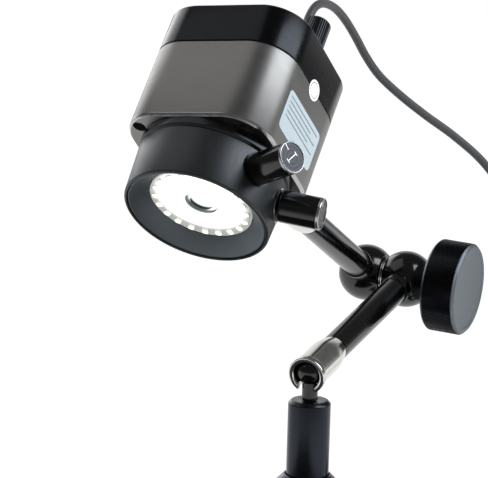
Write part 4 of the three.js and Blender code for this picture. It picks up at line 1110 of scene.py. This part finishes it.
def make_cup(name, node, place, body):
    """A chrome-plated cup: a flaring shell with a lip, slotted on one side so that the rod can fold down."""
    along = place @ Matrix.Rotation(-math.pi / 2, 4, "X")
    low, high = span(node, along)
    mouth, lip = 5.5 * MM, reach(node, along)
    lip_width, shell, straight = 2.8 * MM, 6.6 * MM, 12 * MM
    rod, bore = sizes().rod_radius, 4.6 * MM
    inner, inner_end = 5.5 * MM, -1.8 * MM
    retain, retain_end = 4.9 * MM, -3 * MM
    steps = 12
    flare = [(shell - (shell - rod) * (1 - math.cos(math.pi / 2 * k / steps)),
              straight + (high.z - straight) * k / steps) for k in range(steps + 1)]
    profile = [
        (mouth, low.z), (lip, low.z), (lip, low.z + lip_width), (shell, low.z + lip_width), *flare,
        (bore, high.z), (bore, inner), (inner, inner), (inner, inner_end), (retain, retain_end)]
    cup = turned(name, eased(profile, 0.7 * MM, 5), along)
    half_slot, slot_end, below = 3.5 * MM, 4.2 * MM, -2 * lip
    round_centre = slot_end - half_slot
    combine(cup, "DIFFERENCE", [
        box("slot", (-half_slot, 2 * low.z, below), (half_slot, round_centre, 0), place),
        pin("slot_end", half_slot, below, 0, place @ Matrix.Translation((0, round_centre, 0)))])
    dress(cup, body, "chrome_plate", [node])


def make_rod(name, node, place, body):
    """An enamelled tube, stepped down to a spigot where it enters its cup."""
    along = place @ Matrix.Rotation(-math.pi / 2, 4, "X")
    low, high = span(node, along)
    radius, bore = sizes().rod_radius, 3.2 * MM
    spigot, spigot_length = 4.2 * MM, 8 * MM
    shoulder = low.z + spigot_length
    rod = turned(name, [
        (bore, low.z), (spigot, low.z), (spigot, shoulder), (radius, shoulder), (radius, high.z),
        (bore, high.z)], along, ROD_SIDES)
    dress(rod, body, "black_gloss_enamel", [node])


def make_hub(name, node, centre, place, body):
    """A ball with two flats, a boss that takes the rod, and a bore across it."""
    across = placed(centre, -place.col[2].xyz, place.col[1].xyz)
    low, high = span(node, across)
    radius = max(abs(low.z), abs(high.z), high.y)
    ease, bore = sizes().edge_ease, HUB_BORE
    belly = arc(radius, math.asin(low.z / radius), math.asin(high.z / radius), BELLY_STEPS)
    ball = turned(name, [(bore, low.z), *belly, (bore, high.z)], across)
    boss_radius, boss_end = 6 * MM, 13.5 * MM
    collar, root = sizes().rod_radius + 2 * ease, 7 * MM
    along_rod = place.to_3x3().to_4x4() @ Matrix.Rotation(math.pi / 2, 4, "X")
    boss = turned("boss", eased([
        (0, 0), (boss_radius, 0), (boss_radius, root), (collar, boss_end), (0, boss_end)], ease),
        Matrix.Translation(centre) @ along_rod)
    combine(ball, "UNION", [boss])
    if node == "rear_hub":
        make_bolt_seat(ball, across, low.z)
    dress(ball, body, "black_gloss_enamel", [node])


def make_bolt_seat(ball, across, flat):
    """Sinks a round seat for the bolt's head into a hub's outer flat."""
    head_radius, depth = 5.8 * MM, 4.2 * MM
    combine(ball, "DIFFERENCE", [pin("seat", head_radius, 2 * flat, flat + depth, across, SEAT_SIDES)])


def make_clamp_knob():
    """The knurled clamp knob, with a shallow dish in its outer face and a boss on its inner one."""
    place = upright(point("clamp_turn"), HINGE)
    low, high = span("clamp_knob", place)
    size = sizes()
    radius, chamfer, ease = reach("clamp_knob", place), 1.1 * MM, size.edge_ease
    boss, boss_height = 8 * MM, 2 * MM
    back = low.z + boss_height
    dish, rim = 0.25 * MM, 1.6 * MM
    profile = [
        (0, low.z), (boss, low.z), (boss, back), (radius - chamfer, back), (radius, back + chamfer),
        (radius, high.z - chamfer), (radius - chamfer, high.z), (radius - chamfer - rim, high.z),
        (radius - chamfer - rim - dish, high.z - dish), (0, high.z - dish)]
    knob = turned("clamp_grip", eased(profile, ease), place, teeth=size.knurl_teeth,
                  tooth_depth=size.knurl_depth, toothed=(back + chamfer / 2, high.z - chamfer / 2))
    dress(knob, "clamp", "knurled_black_aluminium", ["clamp_knob"])
    # The faces get a lighter grey than the knurl: a painted sheen.
    coat_faces(knob, "bead_blasted_knob_face", lambda face: abs(face.normal.z) > 0.5)


def make_washers_and_bolt():
    """The two bright washers of the clamp joint, and the bolt's finish."""
    place = upright(point("clamp_turn"), HINGE)
    for name in ("washer_front", "washer_rear"):
        low, high = span(name, place)
        radius, bore, ease = reach(name, place), HUB_BORE, 0.12 * MM
        ring = turned(f"{name}_ring", eased([
            (bore, low.z), (radius, low.z), (radius, high.z), (bore, high.z)], ease), place)
        dress(ring, "lower_arm", "polished_steel", [name])
    coat("hub_bolt", "machined_steel")


class MICROSCOPE_OT_arm(bpy.types.Operator):
    """Makes the two rods with their cups and hubs, the clamp knob and the ball studs"""

    bl_idname = "microscope.arm"
    bl_label = "Arm"

    def execute(self, context):
        make_ball_studs()
        for name, place, body, hub, centre in (
                ("lower", LOWER_ARM, "lower_arm", "front_hub", point("clamp_turn")),
                ("upper", UPPER_ARM, "upper_arm", "rear_hub", point("elbow"))):
            make_cup(f"{name}_socket", f"{name}_cup", place, body)
            make_rod(f"{name}_tube", f"{name}_rod", place, body)
            make_hub(f"{hub}_ball", hub, centre, place, body)
            coat(f"{name}_push_rod", "machined_steel")
        make_washers_and_bolt()
        make_clamp_knob()
        return {"FINISHED"}


# The head


def make_body():
    """The square body, with a chamfer round its underside, made bright as a painted highlight, and four screw
    holes.
    """
    size = sizes()
    low, high = span("head_body", HEAD)
    width, lower, seam = high.x - low.x, size.body_lower_chamfer, size.seam_ease
    shell = stacked("body_shell", inset_layers(width, width, size.head_corner, [
        (lower, 0), (lower / 4, 0.75 * lower), (0, 1.3 * lower), (0, high.z - seam), (seam, high.z)]), HEAD)
    radius, depth, away = size.screw_hole_radius, size.screw_hole_depth, size.screw_place
    holes = [
        pin("hole", radius, -depth, depth, HEAD @ Matrix.Translation((x * away, y * away, 0)), HOLE_SIDES)
        for x in (-1, 1) for y in (-1, 1)]
    combine(shell, "DIFFERENCE", holes)
    dress(shell, "head", "gunmetal_anodised_aluminium", ["head_body"])
    # The underside chamfer gets brighter metal than the body: a painted highlight.
    coat_faces(shell, "cut_aluminium_edge",
               lambda face: -0.9 < face.normal.z < -0.1 and face.center.z < 2 * lower)


def make_cap():
    """The cap, chamfered round its top, with a rim round the panel."""
    size = sizes()
    low, high = span("top_cap", HEAD)
    width, ease = high.x - low.x, size.edge_ease
    seam, chamfer, rim = size.seam_ease, size.cap_chamfer, size.cap_rim
    recess = span("top_panel", HEAD)[0].z - ease
    cap = stacked("cap_shell", inset_layers(width, width, size.head_corner, [
        (seam, low.z), (0, low.z + seam), (0, high.z - chamfer - ease), (ease / 4, high.z - chamfer),
        (chamfer, high.z - ease / 3), (chamfer + ease / 2, high.z), (rim, high.z), (rim, recess)]), HEAD)
    dress(cap, "head", "black_anodised_aluminium", ["top_cap"])


class MICROSCOPE_OT_head_shell(bpy.types.Operator):
    """Makes the head's body and cap, and finishes its panel and screws"""

    bl_idname = "microscope.head_shell"
    bl_label = "Head shell"

    def execute(self, context):
        make_body()
        make_cap()
        coat("top_panel", "black_moulded_abs")
        for i in range(1, 5):
            coat(f"body_screw_{i}", "machined_steel")
        return {"FINISHED"}


class MICROSCOPE_OT_inner_parts(bpy.types.Operator):
    """Finishes the boards, the guide tube, the carriages and the shafts"""

    bl_idname = "microscope.inner_parts"
    bl_label = "Inner parts"

    def execute(self, context):
        for node in ("main_board", "sensor_board"):
            coat(node, "green_solder_mask")
        for node in ("guide_tube", "focus_carriage", "zoom_carriage"):
            coat(node, "black_moulded_abs")
        for node in ("focus_shaft", "zoom_shaft"):
            coat(node, "machined_steel")
        coat("rear_lens", "coated_lens_glass")
        return {"FINISHED"}


# The barrel, hung under the head; heights run down from the body's underside


def shaft_holes():
    """Round tools that cut the way of the two knob shafts."""
    tools = []
    for name in ("focus", "zoom"):
        place = upright(point(f"{name}_turn"), axis(f"{name}_turn"))
        low, high = span(f"{name}_shaft", place)
        radius = reach(f"{name}_shaft", place) + 0.3 * MM
        tools.append(pin("hole", radius, low.z, high.z, place, HOLE_SIDES))
    return tools


def make_mount_ring():
    """The flange between the body and the barrel, with a groove in its face."""
    top = span("mount_ring", HEAD)[1].z
    radius, bore = reach("mount_ring", HEAD), hollow("mount_ring", HEAD)
    chamfer, ease, thick = 0.8 * MM, sizes().edge_ease, 3.6 * MM
    face = top - thick
    groove, cut = 26.6 * MM, 0.35 * MM
    ring = turned("barrel_flange", eased([
        (bore, face), (groove - cut, face), (groove, face + cut), (groove + cut, face),
        (radius - chamfer, face), (radius, face + chamfer), (radius, top), (bore, top)], ease / 2),
        HEAD, WIDE_SIDES)
    combine(ring, "DIFFERENCE", shaft_holes())
    dress(ring, "head", "turned_black_aluminium", ["mount_ring"])


def make_barrel():
    """The barrel, bevelled at its mouth."""
    low, high = span("barrel", HEAD)
    radius, rim, bore = reach("barrel", HEAD), 27 * MM, 25.9 * MM
    bevel, ease = 0.6 * MM, sizes().edge_ease
    shell = turned("barrel_shell", eased([
        (bore, high.z), (radius, high.z), (rim, low.z + bevel), (rim - bevel, low.z), (bore, low.z)], ease),
        HEAD, WIDE_SIDES)
    combine(shell, "DIFFERENCE", shaft_holes())
    dress(shell, "head", "blasted_black_barrel", ["barrel"])


BEAD_PROUD = 0.7 * MM
THIN_EASE = 0.15 * MM
PHOSPHOR_SHARE = 0.98


def make_hood():
    """The cone in the barrel's mouth, which flares out from the light."""
    low, high = span("light_hood", HEAD)
    outer = reach("light_hood", HEAD)
    seat, mouth = reach("led_board", HEAD) + 0.3 * MM, 25 * MM
    board_face = span("led_board", HEAD)[0].z + BEAD_PROUD
    hood = turned("hood_cone", eased([
        (outer, low.z), (outer, high.z), (seat, high.z), (seat, board_face), (mouth, low.z)],
        THIN_EASE), HEAD, WIDE_SIDES)
    dress(hood, "head", "matt_black_hood", ["light_hood"])


def make_light():
    """The lit board: a white disc, and a ring of square beads, each a pale body round its phosphor."""
    size = sizes()
    low, high = span("led_board", HEAD)
    radius, hole = reach("led_board", HEAD), 6.4 * MM
    face = low.z + BEAD_PROUD
    disc = turned("light_board", [
        (hole, face), (radius, face), (radius, high.z), (hole, high.z)], HEAD, BOARD_SIDES)
    dress(disc, "head", "lit_white_board", ["led_board"])
    width, ease, edge = size.bead_width, THIN_EASE, 2.2 * MM
    circle, dome, top = radius - edge, PHOSPHOR_SHARE * width / 2, BEAD_PROUD - ease / 2
    bodies, lenses = [], []
    for i in range(size.bead_count):
        place = (HEAD @ Matrix.Rotation(2 * math.pi * i / size.bead_count, 4, "Z")
                 @ Matrix.Translation((circle, 0, face)) @ Matrix.Rotation(math.pi, 4, "X"))
        body = stacked(f"bead_body_{i + 1:02d}", [
            (width, width, ease, 0), (width, width, ease, BEAD_PROUD - ease),
            (width - ease, width - ease, ease, BEAD_PROUD)], place, steps=3)
        bodies.append(dress(body, "head", "white_fill"))
        lens = turned(f"bead_phosphor_{i + 1:02d}", [
            (0, top), (dome, top), (dome, BEAD_PROUD), (dome / 2, BEAD_PROUD + ease / 2),
            (0, BEAD_PROUD + ease)], place, BEAD_SIDES)
        lenses.append(dress(lens, "head", "lit_phosphor"))
    join_pieces("light_bead_bodies", bodies)
    join_pieces("light_beads", lenses)


def make_objective():
    """The objective's cell and its front lens, deep in the middle of the light."""
    low, high = span("objective_cell", HEAD)
    outer, inner, lip, ease = reach("objective_cell", HEAD), 4.9 * MM, 0.6 * MM, 0.12 * MM
    cell = turned("objective_ring", eased([
        (inner - lip, low.z), (outer, low.z), (outer, high.z), (inner, high.z), (inner, low.z + lip),
        (inner - lip, low.z + lip)], ease), HEAD)
    # The cell takes the lens's painted glare as well.
    dress(cell, "focus_lens", "lit_lens_glass", ["objective_cell"])
    low, high = span("front_lens", HEAD)
    radius, rise, steps = reach("front_lens", HEAD), 0.5 * MM, 8
    shares = [k / steps for k in range(steps + 1)]
    under = [(radius * share, low.z + rise * share ** 2) for share in shares]
    over = [(radius * share, high.z - rise * share ** 2) for share in reversed(shares)]
    lens = turned("objective_lens", [*under, *over], HEAD)
    dress(lens, "focus_lens", "lit_lens_glass", ["front_lens"])


class MICROSCOPE_OT_barrel(bpy.types.Operator):
    """Makes the flange, barrel, light hood, light and objective"""

    bl_idname = "microscope.barrel"
    bl_label = "Barrel"

    def execute(self, context):
        make_mount_ring()
        make_barrel()
        make_hood()
        make_light()
        make_objective()
        return {"FINISHED"}


# The side knobs

MARK_LINE = 0.3 * MM
MARK_THICK = 0.06 * MM
INDEX_TURN = 58
STEM_TURN = -24
STEM_SHARE = 0.84
SERIF_SHARE = 0.3
WASHER_INSET = 0.6 * MM
WASHER_REACH = 0.5 * MM


def make_side_knob(name, body):
    """A gloss black knob with a polished rim, a spun face and white filled marks."""
    place = upright_with(point(f"{name}_turn"), axis(f"{name}_turn"), HEAD_UP)
    low, high = span(f"{name}_knob", place)
    radius, rim, dish = reach(f"{name}_knob", place), 0.55 * MM, 0.3 * MM
    ease, bore, bore_end = sizes().edge_ease, 2.3 * MM, high.z - 3 * MM
    knob = turned(f"{name}_grip", [
        (0, bore_end), (bore, bore_end), *eased([
            (bore, low.z), (radius - rim, low.z), (radius, low.z + rim), (radius, high.z - 2 * rim),
            (radius - rim, high.z - 2 * rim)], ease / 2), (radius - rim, high.z - dish), (0, high.z - dish)],
        place)
    dress(knob, body, "black_gloss_enamel", [f"{name}_knob"])
    coat_faces(knob, "turned_black_aluminium", lambda face: face.normal.z > 0.9)
    ring = turned(f"{name}_rim", eased([
        (radius - rim, high.z - 2 * rim), (radius, high.z - 2 * rim), (radius, high.z - ease),
        (radius - ease, high.z), (radius - rim, high.z)], ease / 2), place)
    dress(ring, body, "machined_steel")
    make_knob_marks(name, body, place, high.z - dish, radius, radius - rim)
    make_wave_washer(name, place, low.z - WASHER_INSET, radius + WASHER_REACH)


def make_knob_marks(name, body, place, face, radius, edge):
    """An index line near the edge of a knob's face and, on the focus knob, a stroke with two serifs."""
    strokes = [("index", (radius / 2 + edge) / 2, MARK_LINE, edge - radius / 2, INDEX_TURN)]
    if name == "focus":
        stem, serif = STEM_SHARE * radius, SERIF_SHARE * radius
        strokes.append(("stroke", 0, MARK_LINE, stem, STEM_TURN))
        strokes += [("serif", side * stem / 2, serif, MARK_LINE, STEM_TURN) for side in (-1, 1)]
    marks = []
    for kind, y, width, height, turn in strokes:
        low, high = (-width / 2, y - height / 2, face), (width / 2, y + height / 2, face + MARK_THICK)
        mark = box(f"{name}_{kind}", low, high, place @ Matrix.Rotation(math.radians(turn), 4, "Z"))
        marks.append(dress(mark, body, "white_fill"))
    if len(marks) > 1:
        join_pieces(f"{name}_marks", marks)


def make_wave_washer(name, place, base, radius):
    """A thin sprung washer, wavy round its rim, that seats the knob's hole against the barrel."""
    inner, thick, wave = radius - 0.6 * MM, 0.35 * MM, 0.12 * MM
    sides, waves = 72, 6
    rings = []
    for distance, height in ((inner, -thick), (radius, -thick), (radius, 0), (inner, 0)):
        ring = []
        for k in range(sides):
            turn = 2 * math.pi * k / sides
            lift = base + height + wave * math.cos(waves * turn)
            ring.append((distance * math.cos(turn), distance * math.sin(turn), lift))
        rings.append(ring)
    washer = in_place(f"{name}_washer", skin(f"{name}_washer", rings, closed=True), place)
    dress(washer, "head", "turned_black_aluminium" if name == "focus" else "machined_steel")


def upright_with(origin, z_axis, up):
    """A place whose Z runs along an axis and whose Y leans towards up."""
    y_axis = (up - z_axis * up.dot(z_axis)).normalized()
    return placed(origin, y_axis.cross(z_axis), y_axis)


class MICROSCOPE_OT_side_knobs(bpy.types.Operator):
    """Makes the focus and zoom knobs"""

    bl_idname = "microscope.side_knobs"
    bl_label = "Side knobs"

    def execute(self, context):
        make_side_knob("focus", "focus_drive")
        make_side_knob("zoom", "zoom_drive")
        return {"FINISHED"}


# What stands in the top panel


def make_dial():
    """The toothed brightness dial, hollow below, with a white line on its top."""
    place = upright_with(point("dial_turn"), HEAD_UP, HEAD_BACK)
    low, high = span("brightness_knob", place)
    size = sizes()
    radius, chamfer, bore = reach("brightness_knob", place), 0.6 * MM, 1.8 * MM
    bore_end = low.z + 5 * MM
    profile = [
        (bore, low.z), (radius - chamfer / 2, low.z), (radius, low.z + chamfer / 2),
        (radius, high.z - chamfer), (radius - chamfer, high.z), (0, high.z), (0, bore_end), (bore, bore_end)]
    dial = turned("dial_grip", profile, place, teeth=size.dial_teeth, tooth_depth=size.dial_tooth_depth,
                  toothed=(low.z + chamfer / 2, high.z - chamfer))
    dress(dial, "dial", "turned_black_aluminium", ["brightness_knob"])
    half, thick = 0.2 * MM, 0.05 * MM
    mark = box("dial_index", (-half, radius / 3, high.z), (half, radius - chamfer, high.z + thick), place)
    dress(mark, "dial", "white_fill")


def make_switch_mark():
    """A printed stroke beside the slide switch, at its on end."""
    top = span("top_panel", HEAD)[1].z
    low, high = span("slide_switch", HEAD)
    middle, away = (low + high) / 2, 3.6 * MM
    half_width, half_length, thick = 0.2 * MM, 0.9 * MM, 0.04 * MM
    mark = box("switch_on_mark_0", (-half_width, -half_length, 0), (half_width, half_length, thick),
               HEAD @ Matrix.Translation((middle.x + away, middle.y, top)))
    dress(mark, "head", "white_fill")


def make_buttons():
    """Five keys with eased edges, each held under the panel by its flange."""
    for i in range(1, 6):
        node = f"button_{i}"
        low, high = span(node, HEAD)
        middle = Vector(((low.x + high.x) / 2, (low.y + high.y) / 2, 0))
        place = HEAD @ Matrix.Translation(middle)
        radius, flange, stem, ease = 2.4 * MM, 3.1 * MM, 1.5 * MM, 0.3 * MM
        travel, thick = 0.3 * MM, 0.8 * MM
        under = span("top_panel", HEAD)[0].z - travel
        key = turned(f"key_cap_{i}", [
            (0, low.z), (stem, low.z), (stem, under - thick), (flange, under - thick), (flange, under),
            (radius, under), (radius, high.z - ease), (radius - ease, high.z), (0, high.z)],
            place, SMALL_SIDES)
        dress(key, f"key_{i}", "black_moulded_abs", [node])


class MICROSCOPE_OT_top_controls(bpy.types.Operator):
    """Makes the dial and the keys, and finishes the sockets, the jack, the switch and the window"""

    bl_idname = "microscope.top_controls"
    bl_label = "Top controls"

    def execute(self, context):
        make_dial()
        make_buttons()
        coat("slide_switch", "black_moulded_abs")
        coat("round_jack", "black_moulded_abs")
        coat("indicator_window", "frosted_window")
        coat("usb_c_socket", "machined_steel")
        coat("hdmi_socket", "machined_steel")
        make_switch_mark()
        return {"FINISHED"}


# The stickers on the right side

LABEL_MIDDLE = 15.4 * MM
LABEL_CORNER = 2 * MM
LABEL_MARGIN = 2 * MM
BAR_ROWS = 5
BAR_PITCH = 2 * MM
BAR_START = 1.2
BAR_HEIGHT = 0.55 * MM
BAR_SHORTENED = 0.175
INK = 0.02 * MM
TICKS = 16
TICK_PLACE = 0.74
TICK_HALF = (0.25 * MM, 0.45 * MM)


def printed(name, pieces):
    """One printed piece from flat boxes, each a low corner, a high corner and a place."""
    join_pieces(name, [
        dress(box(f"{name}_{i}", *piece), "head", "grey_print")
        for i, piece in enumerate(pieces)])


def make_label(face):
    """The side label, with ruled bars in place of print."""
    size = sizes()
    width, height, thick = size.label_width, size.label_height, size.sticker_thickness
    middle = face @ Matrix.Translation((0, LABEL_MIDDLE, 0))
    ends = [(0, 0), (0, thick)]
    label = stacked("side_label", inset_layers(width, height, LABEL_CORNER, ends), middle, steps=6)
    dress(label, "head", "white_vinyl")
    half = width / 2 - LABEL_MARGIN
    bars = []
    for i in range(BAR_ROWS):
        low = height / 2 - (i + BAR_START) * BAR_PITCH
        end = half - BAR_SHORTENED * width * (i % 2)
        bars.append(((-half, low, thick), (end, low + BAR_HEIGHT, thick + INK), middle))
    printed("label_bars", bars)


def make_seal(face):
    """The round seal over the seam, with a ring of ticks in place of print."""
    radius, thick = sizes().seal_radius, sizes().sticker_thickness
    place = face @ Matrix.Translation((0, span("head_body", HEAD)[1].z, 0))
    dress(pin("seam_seal", radius, 0, thick, place), "head", "white_seal_vinyl")
    across, along = TICK_HALF
    printed("seal_ticks", [
        ((-across, -along, thick), (across, along, thick + INK),
         place @ Matrix.Rotation(2 * math.pi * i / TICKS, 4, "Z")
         @ Matrix.Translation((TICK_PLACE * radius, 0, 0)))
        for i in range(TICKS)])


class MICROSCOPE_OT_stickers(bpy.types.Operator):
    """Makes the side label and the round seal over the seam"""

    bl_idname = "microscope.stickers"
    bl_label = "Stickers"

    def execute(self, context):
        side = Matrix.Translation((span("head_body", HEAD)[1].x, 0, 0))
        face = HEAD @ side @ placed(Vector(), Vector((0, 1, 0)), Vector((0, 0, 1)))
        make_label(face)
        make_seal(face)
        return {"FINISHED"}


OPERATORS = (
    MICROSCOPE_OT_stage,
    MICROSCOPE_OT_lead,
    MICROSCOPE_OT_stand,
    MICROSCOPE_OT_arm,
    MICROSCOPE_OT_head_shell,
    MICROSCOPE_OT_inner_parts,
    MICROSCOPE_OT_barrel,
    MICROSCOPE_OT_side_knobs,
    MICROSCOPE_OT_top_controls,
    MICROSCOPE_OT_stickers,
)


class MICROSCOPE_PT_panel(bpy.types.Panel):
    """Lists the pieces in the order they are made, with their sizes and colours"""

    bl_idname = "MICROSCOPE_PT_panel"
    bl_label = "Desk Microscope"
    bl_space_type = "VIEW_3D"
    bl_region_type = "UI"
    bl_category = "Microscope"

    def draw(self, context):
        layout = self.layout
        for operator in OPERATORS:
            layout.operator(operator.bl_idname)
        for title, group in (
                ("Sizes", context.scene.microscope_sizes), ("Colours", context.scene.microscope_colours)):
            column = layout.column(heading=title)
            for name in group.__annotations__:
                column.prop(group, name)


CLASSES = (MicroscopeColours, MicroscopeSizes, *OPERATORS, MICROSCOPE_PT_panel)


def register():
    for cls in CLASSES:
        bpy.utils.register_class(cls)
    bpy.types.Scene.microscope_sizes = PointerProperty(type=MicroscopeSizes)
    bpy.types.Scene.microscope_colours = PointerProperty(type=MicroscopeColours)


def unregister():
    del bpy.types.Scene.microscope_sizes
    del bpy.types.Scene.microscope_colours
    for cls in reversed(CLASSES):
        bpy.utils.unregister_class(cls)


def main():
    register()
    for operator in OPERATORS:
        group, name = operator.bl_idname.split(".")
        getattr(getattr(bpy.ops, group), name)()


if __name__ == "__main__":
    main()
